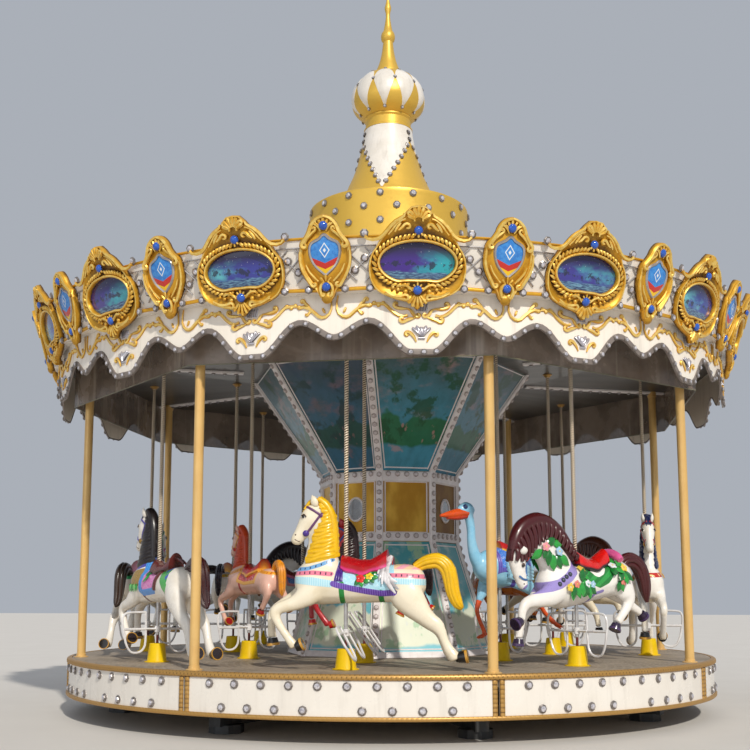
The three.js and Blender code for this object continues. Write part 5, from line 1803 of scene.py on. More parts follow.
def leaves_on(skin, rows, colour, second, lift=0.004):
    """Pointed leaves on the skin: rows of forward, height, angle in degrees and length. Their middle rib
    stands highest."""
    t = np.linspace(0, 1, 7)
    width = 0.30 * np.sin(t * math.pi) ** 0.8 * (1.15 - 0.3 * t) + 0.004
    rib = 0.05 * np.sin(t * math.pi)
    section = np.array([-1.0, -0.5, 0.0, 0.5, 1.0, 0.0])
    height = np.array([0.0, 0.055, 0.10, 0.055, 0.0, -0.05])
    x = width[:, None] * section[None]
    z = height[None] * (0.4 + 2 * width[:, None]) + rib[:, None]
    leaf = grid(np.stack([x, np.broadcast_to(t[:, None], x.shape), z], -1), wrap_cols=True, caps=True)
    rows = np.asarray(rows, float)
    angle = np.radians(rows[:, 2])
    ups = np.stack([np.cos(angle), np.zeros(len(rows)), np.sin(angle)], -1)
    places = seats(skin.place(rows[:, :2], lift), skin.facing(rows[:, 0], rows[:, 1]), ups, rows[:, 3])
    odd = np.arange(len(rows)) % 2 == 1
    parts = [tinted(spread(leaf, places[~odd]), colour)]
    if odd.any():
        parts.append(tinted(spread(leaf, places[odd]), second))
    return both_sides(gather(parts))


def eyes(skin, forward, height, lash):
    """An eye on each side: white, pupil and lid."""
    white = button_on(skin, [(forward, height)], 0.019, "f2efe8", -0.002)
    pupil = button_on(skin, [(forward + 0.003, height)], 0.014, "0f0d0c", 0.006)
    lid = strap_on(skin, [(forward - 0.024, height - 0.004), (forward - 0.004, height + 0.019),
                          (forward + 0.020, height + 0.006)], 0.005, lash, 0.008, 0.8, 8)
    return [white, pupil, lid]


def band_of(points, line, half):
    """Signed distance of side view places from a band of this half width along an open line."""
    return away(points, line, closed=False) - half


# Every region that a dress function leaves out lies this far away
NOWHERE = 9.0


def dress_front(side):
    """Paint regions of the front horse, as signed distances in its side view."""
    cloth = away(side, [(.06, 1.05), (.06, .700), (-.072, .665), (-.198, .640), (-.313, .622), (-.43, .63),
                        (-.43, .74), (-.37, 1.05)])
    hem = band_of(side, [(.085, .700), (.054, .689), (-.072, .660), (-.198, .637), (-.313, .620),
                         (-.422, .626)], 0.024)
    straps = np.minimum(band_of(side, [(.10, .778), (.25, .790), (.50, .785)], 0.019),
                        band_of(side, [(-.37, .766), (-.52, .765), (-.70, .753)], 0.018))
    bands = band_of(side, [(.10, .897), (.20, .854), (.30, .824), (.50, .812)], 0.016)
    fringe = np.minimum(
        away(side, [(.50, .762), (.25, .752), (.09, .724), (.09, .668), (.25, .684), (.50, .714)]),
        away(side, [(-.37, .744), (-.70, .734), (-.70, .684), (-.37, .697)]),
    )
    tassel = away(side, [(.044, .945), (.018, .945), (.000, .715), (.078, .715)])
    patch = away(side, [(-.36, 1.05), (-.60, 1.0), (-.70, .81), (-.37, .82)])
    girth = np.minimum(band_of(side, [(.014, .50), (.014, .70)], 0.022),
                       band_of(side, [(-.310, .50), (-.310, .63)], 0.022))
    return dict(cloth=cloth, hem=hem, strap=straps, band=bands, fringe=fringe, tassel=tassel, patch=patch,
                girth=girth)


def dress_leafy(side):
    """Paint regions of the horse with the bordered blanket and the leafy fringe."""
    outline = [(.130, 1.05), (.115, .640), (.05, .600), (-.20, .620), (-.245, .70), (-.23, 1.05)]
    cloth = away(side, outline)
    hem = np.maximum(np.abs(cloth + 0.028) - 0.030, cloth)
    patch = away(side, [(-.27, 1.05), (-.28, .80), (-.42, .62), (-.47, .74), (-.44, 1.05)])
    bands = band_of(side, [(.11, .90), (.25, .872), (.50, .850)], 0.024)
    tassel = away(side, [(.50, .825), (.25, .845), (.12, .860), (.12, .690), (.25, .700), (.50, .700)])
    fringe = away(side, [(-.30, .76), (-.42, .60), (-.47, .70), (-.33, .86)])
    girth = band_of(side, [(.02, .50), (.06, .66)], 0.020)
    return dict(cloth=cloth, hem=hem, band=bands, fringe=fringe, tassel=tassel, patch=patch, girth=girth)


def dress_garland(side):
    """Paint regions of the garlanded horse: a chest band and a narrow girth."""
    band = band_of(side, [(.06, .93), (.135, .82), (.22, .76), (.335, .70), (.44, .675), (.62, .655)], 0.040)
    swag = band_of(side, [(-.02, .80), (-.08, .735), (-.15, .715), (-.24, .75), (-.32, .83)], 0.045)
    girth = band_of(side, [(-.02, .50), (-.10, .62), (-.20, .645)], 0.014)
    return dict(band=band, patch=swag, girth=girth)


def dress_plain(side):
    """Paint regions of the inner horses: a bordered cloth, a chest strap and one girth."""
    cloth = away(side, [(.10, 1.05), (.09, .70), (-.10, .66), (-.38, .68), (-.42, 1.05)])
    hem = np.maximum(np.abs(cloth + 0.020) - 0.022, cloth)
    strap = band_of(side, [(.09, .86), (.25, .82), (.50, .800)], 0.022)
    tail_strap = band_of(side, [(-.40, .83), (-.52, .81), (-.70, .79)], 0.018)
    girth = band_of(side, [(.0, .50), (.02, .70)], 0.022)
    return dict(cloth=cloth, hem=hem, strap=np.minimum(strap, tail_strap), girth=girth)


def dress_bird(side):
    """Paint regions of the ostrich: a scalloped saddle cloth."""
    edge = np.column_stack([np.linspace(.14, -.30, 23), .80 + .022
                            * np.abs(np.sin(np.linspace(0, 3 * math.pi, 23)))])
    cloth = away(side, np.vstack([[(.14, 1.2)], edge, [(-.30, 1.2)]]))
    hem = np.maximum(np.abs(cloth + 0.022) - 0.022, cloth)
    girth = band_of(side, [(-.05, .60), (-.05, .80)], 0.022)
    return dict(cloth=cloth, hem=hem, girth=girth)


REGIONS = ("patch", "cloth", "fringe", "strap", "band", "girth", "hem", "tassel")


def lay_tack(board, given):
    """Carved tack painted on a figure: each region's signed distance gives a crisp edge; dots, ribs and
    pleats fill some."""
    fore, rise, side = board.mark("fore"), board.mark("rise"), board.mark("side")
    ribs = board.step(board.math("SINE", board.times(fore, 330.0)), -0.5, 0.6)
    dots = board.step(board.math("SINE", board.times(fore, 140.0)), 0.72, 0.86)
    place = board.join(fore, side, rise)
    cloudy = board.noise(place, 5.0, 4.0, 0.6)
    glitter = board.noise(place, 70.0, 2.0, 0.6)
    colour = board.mix(board.times(board.step(cloudy, 0.42, 0.7), 0.55), given["Coat"], given["Coat shade"])
    raised = board.times(cloudy, 0.12)
    for name in REGIONS:
        inside = board.step(board.mark(name), 0.0015, -0.0015)
        paint = given[name]
        if name in ("fringe", "hem", "tassel"):
            paint = board.mix(board.times(ribs, 0.42), paint, given[name + " light"])
        if name == "patch":
            slant = board.math("SINE", board.times(board.plus(fore, board.times(rise, 1.6)), 46.0))
            paint = board.mix(board.step(slant, -0.15, 0.1), paint, given["patch light"])
        if name == "cloth":
            paint = board.mix(board.times(board.step(glitter, 0.5, 0.66), 0.35), paint, (0.9, 0.95, 1.0))
        if name in ("strap", "band"):
            spot = board.times(dots, board.step(board.mark(name), -0.006, -0.010))
            paint = board.mix(spot, paint, given["dots"])
        colour = board.mix(inside, colour, paint)
        raised = board.plus(raised, board.times(board.step(board.mark(name), 0.004, -0.004), 0.5))
    pleats = board.times(board.times(ribs, 0.4), board.math(
        "MAXIMUM", board.step(board.mark("hem"), 0.0, -0.004), board.step(board.mark("tassel"), 0.0, -0.004)))
    return {"Colour": colour, "Roughness": board.plus(0.2, board.times(cloudy, 0.16)),
            "Height": board.plus(raised, pleats)}


def make_tack_group():
    """The painted tack that all the figures share."""
    names = ["Coat", "Coat shade", *REGIONS, "fringe light", "hem light", "tassel light",
             "patch light", "dots"]
    GROUPS["tack"] = make_group("painted tack", sockets(COLOUR, (0.5, 0.5, 0.5, 1), *names),
                                PAINT_OUT, lay_tack)


def figure_paint(name, colours):
    """Gloss paint for one figure, with its own coat and tack colours."""
    board, shader = new_material(name)
    group = board.node("ShaderNodeGroup", node_tree=GROUPS["tack"])
    for key, text in colours.items():
        board.put(group.inputs[key], text)
    out = group.outputs
    set_shader(board, shader, Base_Color=out["Colour"], Roughness=out["Roughness"], Coat_Weight=0.35,
               Normal=board.bump(out["Height"], 0.5, 0.004))
    return name


def hair_paint(name, colour):
    """Gloss paint for a carved mane or tail, darker in patches of fine noise."""
    painted(name, colour, tuple(0.6 * c for c in shade(colour)), scale=16.0, mottle=0.4, grime=0.0,
            rough=0.30, coat=0.2, bump=0.2, depth=0.003)
    return name


def make_enamel():
    """Gloss enamel whose colour is kept on the points of each small part."""
    board, shader = new_material("tack enamel")
    mixed = board.node("ShaderNodeCombineColor")
    for socket, name in zip(mixed.inputs, ("red", "green", "blue")):
        board.put(socket, board.mark(name))
    grain = board.noise(board.place(), 24.0, 3.0)
    tone = board.mix(board.times(board.step(grain, 0.35, 0.7), 0.4), mixed.outputs[0],
                     (0.45, 0.42, 0.4), "MULTIPLY")
    set_shader(board, shader, Base_Color=tone, Roughness=board.plus(0.2, board.times(grain, 0.15)),
               Coat_Weight=0.4, Normal=board.bump(grain, 0.1, 0.002))


def place_figure(azimuth, row, size=1.0, lift=0.0):
    """The matrix from a figure's own frame to the carousel's."""
    made = np.eye(4)
    s, c = math.sin(azimuth), math.cos(azimuth)
    made[:3, 0], made[:3, 1], made[:3, 2] = (-c * size, -s * size, 0), (s * size, -c * size, 0), (0, 0, size)
    made[:3, 3] = (row * s, -row * c, DECK_TOP + lift)
    return made


def build_pole(name, azimuth, row, belly, back, lean_share, high):
    """Rod, sliding tube, spiral brass pole and two looped foot rests on a cross bar."""
    rod = lathe([(0.012, -0.060), (0.012, 0.262)], 12).mark(part=0)
    sleeve = lathe([(0.0120, 0.244), (0.0172, 0.246), (0.0174, 0.252), (0.0174, belly + 0.05)],
                   14).mark(part=1)
    top, low = 3.5599 - DECK_TOP, back - 0.12
    a = np.arange(10) * TURN / 10
    z = np.concatenate([np.linspace(low, top - 0.25, 11), [top - 0.235, top]])[:, None]
    wide = np.where(z < top - 0.24, 0.0184, 0.0160)
    points = np.stack(np.broadcast_arrays(wide * np.cos(a), wide * np.sin(a), z), -1)
    wide = np.broadcast_to(a, points.shape[:2])
    spiral = grid(points, wrap_cols=True, caps=True, round_x=np.cos(wide), round_y=np.sin(wide)).mark(part=2)
    inner, outer, low, level = 0.120, 0.345, 0.092, 0.300
    corner = [(inner, high - 0.02), (inner + 0.02, high), (outer - 0.05, high - 0.004),
              (outer - 0.010, high - 0.032), (outer, high - 0.08), (outer - 0.008, high - 0.15),
              (outer - 0.036, low + 0.078), (outer - 0.085, low + 0.004), (inner + 0.065, low),
              (inner + 0.018, low + 0.036), (inner, low + 0.11)]
    line = flow(corner, 30, closed=True)
    lean = (line[:, 1] - level) * lean_share
    loop = tube(np.stack([lean, line[:, 0], line[:, 1]], -1), 0.0105, 6, up=(1, 0, 0), closed=True)
    bar = tube([(0, 0.020, level), (0, 0.10, level), (0, outer - 0.006, level)], 0.0120, 8, up=(1, 0, 0))
    plate_line = np.linspace(0.0, inner, 5)
    plate = tube(np.stack([plate_line * 0, plate_line, plate_line * 0 + level], -1), 0.019, 8, flat=0.5)
    clamp = lathe([(0.0176, 0.270), (0.027, 0.272), (0.027, 0.328), (0.0176, 0.330)], 14, closed=True)
    rests = gather([both_sides(gather([loop, bar, plate])), clamp]).mark(part=3)
    return spread(gather([rod, sleeve, spiral, rests]), place_figure(azimuth, row))


# The foot rests hang upright but for two pairs, which have swung back: their lean and the height of their
# tops
HUNG_RESTS = {"horse_outer_1": (0.55, 0.350), "horse_inner_1": (0.70, 0.452)}
FIGURES = {}
POLE_FINISHES = ("rod red", "tube silver", "pole brass", "tube white")


def build_figure(name, kind, bay, row, dress, colours, hair, details, hair_shapes, hooves,
                 size=1.0, lift=0.0):
    """One animal: its carved body with painted tack, its hair, its raised trim and its pole, all riding on
    its own body."""
    azimuth = bay * BAY
    skin_shape = FIGURES[kind][0]
    body = Shape(skin_shape.points, tris=skin_shape.tris)
    side_view = body.points[:, (0, 2)]
    body.mark(fore=body.points[:, 0], side=body.points[:, 1], rise=body.points[:, 2])
    bare = dict.fromkeys(REGIONS, NOWHERE)
    body.mark(**{**bare, **dress(side_view)})
    extra = [s.mark(**bare) for s in FIGURES[kind][2]]
    matrix = place_figure(azimuth, row, size, lift)
    make_piece(name + "_body", spread(gather([body, *extra]), matrix), figure_paint(name + " coat", colours),
               body=name, stands_for=[name], crease=80)
    if hair_shapes:
        make_piece(name + "_hair", spread(gather(hair_shapes), matrix), hair_paint(name + " hair", hair),
                   body=name, crease=80)
    make_piece(name + "_tack", spread(gather([*details, *hooves]), matrix), "tack enamel", body=name,
               crease=50)
    belly, back = (0.545 * size + lift, 0.90 * size + lift) if kind != "bird" else (0.70, 1.06)
    lean, high = HUNG_RESTS.get(name, (0.04, 0.452))
    make_piece(name + "_pole", build_pole(name, azimuth, row, belly, back, lean, high), POLE_FINISHES,
               body=name, crease=40, pick="part")


def sculpt_figures():
    """The bodies of the four kinds of figure, each grown together once, with their skins."""
    leg_pairs = {
        "gallop": [BACK_HIND, np.array(BACK_HIND) * FAR_SIDE + (26, 0, -10, 0, 0), FOLDED_FORE,
                   np.array(DOWN_FORE) * FAR_SIDE],
        "prance": [PRANCE_TUCKED, np.array(PRANCE_TRAILING) * FAR_SIDE, REACHING_FORE, np.array(LOWER_FORE)
                   * FAR_SIDE],
        "trot": [TUCKED_HIND, np.array(TRAILING_HIND) * FAR_SIDE, FOLDED_FORE, np.array(DOWN_FORE)
                 * FAR_SIDE],
    }
    for kind, legs in leg_pairs.items():
        neck, head = (LOW_NECK, LOW_HEAD) if kind == "prance" else (HIGH_NECK, HIGH_HEAD)
        trunk = PRANCE_TRUNK if kind == "prance" else TRUNK
        skin_shape = fused([limb(rows) for rows in (trunk, neck, head, *legs)],
                           {"gallop": 0.0174, "prance": 0.0182, "trot": 0.0224}[kind], 3)
        if kind == "prance":
            ears = [ear((688, 62, 950), (716, 98, 1010), 0.036, 0.004)]
        else:
            ears = [ear((252, 34, 1345), (284, 46, 1440), 0.033, 0.006)]
        FIGURES[kind] = (skin_shape, Skin(skin_shape), ears)
    bird = [
        [(-430, 0, 890, 30, 30), (-390, 0, 885, 90, 80), (-200, 0, 870, 180, 158), (50, 0, 870, 190, 162),
         (220, 0, 885, 135, 112), (300, 0, 905, 50, 44)],
        [(190, 0, 850, 100, 80), (300, 0, 960, 66, 54), (345, 0, 1100, 47, 42), (350, 0, 1200, 43, 40),
         (366, 0, 1300, 45, 42), (392, 0, 1364, 48, 46)],
        [(335, 0, 1376, 44, 40), (400, 0, 1408, 63, 58), (462, 0, 1396, 50, 46), (500, 0, 1376, 30, 30)],
        [(-40, 88, 800, 110, 66), (-180, 108, 740, 95, 60), (-310, 112, 655, 58, 42),
         (-388, 114, 578, 34, 30)],
        [(40, -88, 790, 105, 66), (90, -108, 690, 80, 54), (140, -112, 600, 45, 38),
         (165, -114, 545, 32, 28)],
    ]
    skin_shape = fused([limb(rows) for rows in bird], 0.0165, 3)
    FIGURES["bird"] = (skin_shape, Skin(skin_shape), [])


COAT_DEFAULTS = {
    "Coat": "efe4cc", "Coat shade": "ddcdaa", "patch": "f0c9a0", "patch light": "f4a7b8", "cloth": "a9dcec",
    "fringe": "a6d8e6", "fringe light": "e4f6fa", "strap": "e27f97", "band": "6fa4d4", "girth": "1f8a3c",
    "hem": "5a2f9e", "hem light": "9d84d8", "tassel": "4b2a8c", "tassel light": "8a76c8", "dots": "2a1c3c",
}
GOLD_BAND = "c9963a"
BLACK_HOOF = "141110"
LEAF_GREEN, DEEP_GREEN = "2a9c3c", "14702c"

GALLOP_HOOVES = [((-930, 98, 108), (-1006, 98, 122)), ((-900, -98, 100), (-975, -98, 112)),
                 ((400, 96, 184), (340, 96, 212)), ((643, -96, 252), (636, -96, 190))]
PRANCE_HOOVES = [((768, 97, 394), (832, 97, 366)), ((608, -96, 240), (614, -96, 182)),
                 ((-402, 98, 354), (-374, 98, 300)), ((-960, -98, 443), (-1008, -98, 404))]
TROT_HOOVES = [*GALLOP_HOOVES[2:], ((-456, 98, 358), (-430, 98, 304)), ((-750, -98, 402), (-796, -98, 366))]


def hooves(lines, colour=BLACK_HOOF, band=GOLD_BAND):
    """A hoof along each line."""
    return [hoof(start, end, colour, band) for start, end in lines]


FRONT_OF_MANE = [(.246, 1.395), (.215, 1.330), (.192, 1.262), (.215, 1.180), (.262, 1.110), (.284, 1.020),
                 (.329, .885)]
BACK_OF_MANE = [(.205, 1.405), (.150, 1.365), (.108, 1.300), (.084, 1.215), (.074, 1.110), (.070, 1.010),
                (.068, .962)]
HIGH_TAIL_LINE = [(-580, 830), (-640, 862), (-699, 880), (-774, 884), (-842, 826), (-871, 723), (-888, 631),
                  (-928, 534), (-966, 500)]
LOW_TAIL_LINE = [(-575, 835), (-640, 905), (-710, 900), (-752, 820), (-765, 700), (-765, 590), (-772, 530)]


def high_mane(skin, radius=0.021):
    """The mane of a high headed horse: a flat base, a ridge along the crest, carved locks and a forelock over
    the forehead."""
    forelock = [tube(skin.place(flow([(.240, 1.390), (.300 + .012 * k, 1.388 - .020 * k),
                                      (.352 + .008 * k, 1.322 - .024 * k)], 9), 0.006 - 0.012 * k)
                     * (1, 1 - .35 * k, 1), np.linspace(0.026, 0.010, 9), 7, up=(0, 1, 0), flat=0.8)
                for k in range(3)]
    crest = flow(BACK_OF_MANE, 14)
    ridge = tube(np.stack([crest[:, 0] + 0.022, 0 * crest[:, 0], crest[:, 1]], -1), 0.034, 10,
                 up=(0, 1, 0), flat=1.5)
    base = locks(skin, FRONT_OF_MANE, BACK_OF_MANE, 10, 0.040, 0.0, -0.004, 0.85, 0.34)
    return [base, ridge, locks(skin, FRONT_OF_MANE, BACK_OF_MANE, 16, radius, 0.007, 0.008, 0.45, 0.55),
            both_sides(gather(forelock))]


def high_tail(radius=1.1):
    """The long tail of the gallop."""
    return [strands(HIGH_TAIL_LINE, np.array([36, 46, 56, 62, 64, 60, 54, 40, 14]) * radius)]


PRANCE_TAIL_LINE = [(-600, 880), (-660, 922), (-755, 920), (-840, 860), (-895, 760), (-922, 650), (-940, 545)]


def low_tail(radius=1.0, line=None):
    """A hanging tail along this line."""
    return [strands(line or LOW_TAIL_LINE, np.array([38, 48, 54, 56, 52, 42, 14]) * radius)]


def bridle(skin, colour, metal, nose=True):
    """Brow band, cheek strap and often a nose band on the high headed horse, with buttons where they meet."""
    straps = [
        strap_on(skin, [(.352, 1.350), (.317, 1.336), (.260, 1.305), (.203, 1.267)], 0.010, colour, 0.006),
        strap_on(skin, [(.214, 1.262), (.250, 1.215), (.290, 1.165), (.330, 1.122)], 0.010, colour, 0.005),
        button_on(skin, [(.197, 1.267)], 0.022, colour), button_on(skin, [(.335, 1.118)], 0.029, metal),
        button_on(skin, [(.424, 1.108)], 0.009, "5a4438", -0.002),
        strap_on(skin, [(.388, 1.052), (.408, 1.058), (.430, 1.070)], 0.004, "6a5444", 0.001),
        *eyes(skin, .352, 1.258, "4a3324"),
    ]
    if nose:
        straps.append(strap_on(skin, [(.405, 1.165), (.372, 1.130), (.345, 1.108)], 0.008, colour, 0.004))
    return straps


def figure_horse_front():
    """The cream horse nearest the camera: a tasselled cloth with feathers and two flowers, and a yellow
    mane."""
    skin = FIGURES["gallop"][1]
    upper = [(-.288, .780), (-.301, .729), (-.327, .694), (-.353, .723), (-.376, .780)]
    lower = [(-.376, .689), (-.405, .643), (-.437, .620), (-.462, .654), (-.450, .712)]
    light, dark = "e6e2e4", "b0acb0"
    details = [
        saddle("b3121a", "d8307c"),
        feathers(skin, (-.387, .929), upper[::2], 0.017, light, 0.020),
        feathers(skin, (-.387, .929), upper[1::2], 0.017, dark, 0.018),
        feathers(skin, (-.362, .801), lower[::2], 0.017, light, 0.026),
        feathers(skin, (-.362, .801), lower[1::2], 0.017, dark, 0.024),
        flowers_on(skin, [(-.147, .740, .040, "e0251c", "b01412"), (-.219, .757, .034, "f2cf2a", "d69a14")]),
        leaves_on(skin, leaf_rows((-.147, .740, .075, 60, 110, 160, 210, 260, 310),
                                  (-.219, .757, .075, 90, 140, 190, 240, 290)),
                  LEAF_GREEN, DEEP_GREEN),
        *bridle(skin, "6a3a6c", "4a2c8e", nose=False),
        *[strap_on(skin, [(.032, .930), (.044 - .012 * k, .83), (.060 - .022 * k, .725)], 0.008, "4b2a8c",
                   0.008) for k in range(3)],
    ]
    build_figure("horse_outer_1", "gallop", 0, OUTER_ROW, dress_front, COAT_DEFAULTS, "eebb06", details,
                 high_mane(skin) + high_tail(), hooves(GALLOP_HOOVES))


def figure_horse_dark_mane():
    """The horse with a dark mane and tail, a leafy fringe and brown straps."""
    skin = FIGURES["gallop"][1]
    colours = {**COAT_DEFAULTS, "Coat": "f0eae0", "Coat shade": "ddd3c0", "cloth": "d773b8", "hem": "2f7fd0",
               "hem light": "64b0ea", "band": "4a4aa8", "dots": "4a4aa8", "tassel": "8a6a22",
               "tassel light": "c8a545", "fringe": "2fa83c", "fringe light": "7ad074", "patch": "3a55b4",
               "patch light": "2f9a4c", "girth": "5a1a1e"}
    brown = "5a2320"
    details = [
        saddle("6a2a26", "4a1714", flap=0.8),
        leaves_on(skin, [(.06, .86, 200, .10), (.03, .83, 250, .10), (-.02, .86, 180, .10),
                         (-.06, .84, 300, .09), (-.10, .86, 220, .10),
                         (.02, .80, 160, .09), (-.04, .79, 280, .09)], LEAF_GREEN, DEEP_GREEN),
        leaves_on(skin,
                  [(x, .715, a, .075) for x, a in ((.15, 262), (.20, 268), (.25, 272), (.30, 276), (.35, 282),
                                                   (.40, 290))], LEAF_GREEN, "7ad074"),
        strap_on(skin, [(-.20, .93), (-.25, .85), (-.235, .74), (-.215, .655)], 0.026, brown, 0.006),
        strap_on(skin, [(-.22, .92), (-.33, .935), (-.45, .915), (-.52, .885)], 0.014, brown, 0.012),
        *bridle(skin, "4a3f9c", "8a6a22"), *(tinted(shape, "3c1518") for shape in high_tail()),
    ]
    build_figure("horse_outer_8", "gallop", 7, OUTER_ROW, dress_leafy, colours, "1c1517", details,
                 high_mane(skin, 0.024), hooves(GALLOP_HOOVES, "2c2326"))


def figure_horses_outer_gallop():
    """The three galloping horses of the side and back bays."""
    skin = FIGURES["gallop"][1]
    for name, bay, coat, hair, cloth, hem, seat in (
        ("horse_outer_3", 2, "f1ece4", "1c2450", "c22a22", "d2a23a", "2a3a8c"),
        ("horse_outer_5", 4, "f0e6d6", "7a3a1c", "3d8fd0", "e0c03a", "8c1f1c"),
        ("horse_outer_7", 6, "efe9df", "3a2a20", "3fae6a", "e27fb0", "7a241c"),
    ):
        colours = {**COAT_DEFAULTS, "Coat": coat, "cloth": cloth, "hem": hem, "hem light": "f0dc90",
                   "strap": cloth, "girth": seat, "dots": "f4e6a0"}
        details = [saddle(seat, hem), *bridle(skin, cloth, hem),
                   flowers_on(skin, [(-.15, .78, .036, hem, cloth), (.30, .80, .030, hem, cloth)])]
        build_figure(name, "gallop", bay, OUTER_ROW, dress_plain, colours, hair, details, high_mane(skin)
                     + high_tail(), hooves(GALLOP_HOOVES))


PRANCE_CREST = [(.745, 1.02), (.705, 1.14), (.62, 1.235), (.47, 1.285), (.33, 1.255), (.21, 1.18),
                (.11, 1.07), (.045, .965)]
PRANCE_FALL = [(.770, .885), (.690, .885), (.610, .930), (.530, 1.010), (.430, 1.070), (.330, 1.080),
               (.230, 1.030), (.150, .975), (.060, .905)]


def curled_mane(skin):
    """A heavy mane that rises over the arched neck and falls forward in long locks."""
    crest = flow(PRANCE_CREST, 30)
    path = np.stack([crest[:, 0], np.zeros(30), crest[:, 1] - 0.045], -1)
    ridge = tube(path, 0.052 + 0.020 * np.sin(np.linspace(0, math.pi, 30)), 12, up=(0, 1, 0), flat=0.95)
    starts, ends = even(flow(PRANCE_FALL, 60), 17), even(flow(PRANCE_CREST, 60), 17)
    s = np.linspace(0, 1, 9)[:, None]
    made = [ridge]
    for k in range(17):
        flat = starts[k] + (ends[k] - starts[k]) * s + np.array([-0.020, 0.012]) * np.sin(s * 3.3 + 0.4)
        out = np.maximum(skin.out(flat[:, 0], flat[:, 1]) * (1 - s[:, 0]) + 0.012,
                         0.060 * np.sqrt(np.clip(1 - s[:, 0] ** 3, 0, 1)))
        line = np.stack([flat[:, 0], out, flat[:, 1]], -1)
        made.append(both_sides(tube(line, 0.024 * (0.55 + 0.6 * np.sin(s[:, 0] * 2.6 + 0.3)), 6, up=(0, 1, 0),
                                    flat=0.75)))
    fall = [[(.660, 1.100), (.730, 1.050), (.772, .970), (.780, .890)],
            [(.640, 1.120), (.710, 1.090), (.755, 1.020), (.778, .930)]]
    for side in (-0.020, 0.0, 0.020):
        for points in fall:
            line = flow(points, 10)
            made.append(tube(np.stack([line[:, 0], np.full(10, side), line[:, 1]], -1),
                             np.linspace(0.030, 0.012, 10), 8, up=(0, 1, 0)))
    return gather(made)


def lay_bridle(skin, colour, metal):
    """Cheek strap, nose band, button and eyes of the low headed horse."""
    return [strap_on(skin, [(.545, .905), (.585, .885), (.605, .845), (.610, .770)], 0.011, colour, 0.006),
            strap_on(skin, [(.715, .765), (.670, .738), (.620, .735)], 0.009, colour, 0.004),
            button_on(skin, [(.600, .915)], 0.028, metal), *eyes(skin, .690, .850, "5a3a30")]


def figure_horse_garland():
    """The horse with a lowered head, garlanded with leaves and flowers."""
    skin = FIGURES["prance"][1]
    pink, cream, yellow, sky, coral = "f0a0a8", "e9eef2", "f2d24a", "a9d0ea", "ee8a7a"
    colours = {**COAT_DEFAULTS, "Coat": "f3efe9", "Coat shade": "e2dad0", "band": "9b8ccc", "dots": "9b8ccc",
               "patch": "1f7a34", "patch light": "2f9a44", "girth": "8a7cc0"}
    neck_leaves = leaf_rows(
        (.47, .99, .13, 320), (.43, 1.03, .12, 150), (.36, 1.05, .13, 185), (.40, .99, .14, 280),
        (.38, .96, .15, 262),
        (.33, .95, .13, 250), (.30, .95, .14, 222), (.42, 1.00, .10, 300))
    shoulder_leaves = leaf_rows(
        (.17, .70, .13, 250), (.17, .70, .12, 290), (.20, .66, .10, 270), (.05, .80, .10, 160, 250),
        (.09, .72, .13, 110, 200, 240, 280), (.02, .70, .13, 220, 260, 300))
    rump_leaves = leaf_rows(
        (-.36, .86, .12, 100, 190, 240, 280), (-.45, .82, .13, 70, 230, 270, 310), (-.40, .74, .11, 250, 290))
    flowers = [(.45, 1.016, .042, pink, "e6c77a"), (.306, .977, .044, sky, yellow),
               (.043, .833, .042, yellow, coral), (.250, .674, .040, yellow, cream),
               (.170, .700, .036, coral, yellow), (.035, .705, .036, cream, sky),
               (-.030, .700, .034, sky, cream), (-.350, .867, .044, cream, yellow),
               (-.460, .850, .044, yellow, coral), (-.425, .733, .042, coral, pink)]
    seat = saddle("d8140f", "17100f", flap=0.9, tops=(.985, .965, .915, .905, .965, 1.0), trunk=PRANCE_TRUNK)
    across = np.linspace(-.75, .75, 13)
    roll = tube(over_back(np.full(13, -.425), across, 0.062, PRANCE_TRUNK),
                0.046 * np.sin(np.linspace(0.35, 2.79, 13)) ** 0.4, 12, up=(1, 0, 0))
    details = [
        seat, tinted(roll, "e0609c"), leaves_on(skin, neck_leaves, LEAF_GREEN, DEEP_GREEN, 0.008),
        leaves_on(skin, shoulder_leaves, LEAF_GREEN, DEEP_GREEN, 0.010),
        leaves_on(skin, rump_leaves, LEAF_GREEN, DEEP_GREEN, 0.010),
        flowers_on(skin, flowers, 0.022),
        button_on(skin, [(.345, .700), (.300, .735), (.255, .762), (.205, .785)], 0.022, "3c4350", 0.002),
        *lay_bridle(skin, "3f6fa8", "d0301c"), button_on(skin, [(.660, .700)], 0.008, "4a3030", -0.002),
    ]
    build_figure("horse_outer_2", "prance", 1, OUTER_ROW, dress_garland, colours, "4a1418", details,
                 [curled_mane(skin), *low_tail(1.35, PRANCE_TAIL_LINE)],
                 hooves(PRANCE_HOOVES, "2c1c3c", "4a3560"))


def figure_horses_outer_prance():
    """The two prancing horses of the back bays, in the garlanded horse's pose."""
    skin = FIGURES["prance"][1]
    for name, bay, coat, hair, cloth, hem, seat in (
        ("horse_outer_4", 3, "efe2c8", "5a2a16", "c8402c", "e8c23a", "2c5a9c"),
        ("horse_outer_6", 5, "f2ede6", "2a2024", "4aa3d8", "8a5ab0", "9c2420"),
    ):
        colours = {**COAT_DEFAULTS, "Coat": coat, "cloth": cloth, "hem": hem, "hem light": "f4e0a0",
                   "strap": hem, "girth": seat, "dots": "f6f0e0"}
        details = [saddle(seat, hem, trunk=PRANCE_TRUNK), *lay_bridle(skin, cloth, hem),
                   flowers_on(skin, [(-.15, .78, .036, hem, seat)])]
        build_figure(name, "prance", bay, OUTER_ROW, dress_plain, colours, hair, details,
                     [curled_mane(skin), *low_tail(1.1, PRANCE_TAIL_LINE)], hooves(PRANCE_HOOVES))


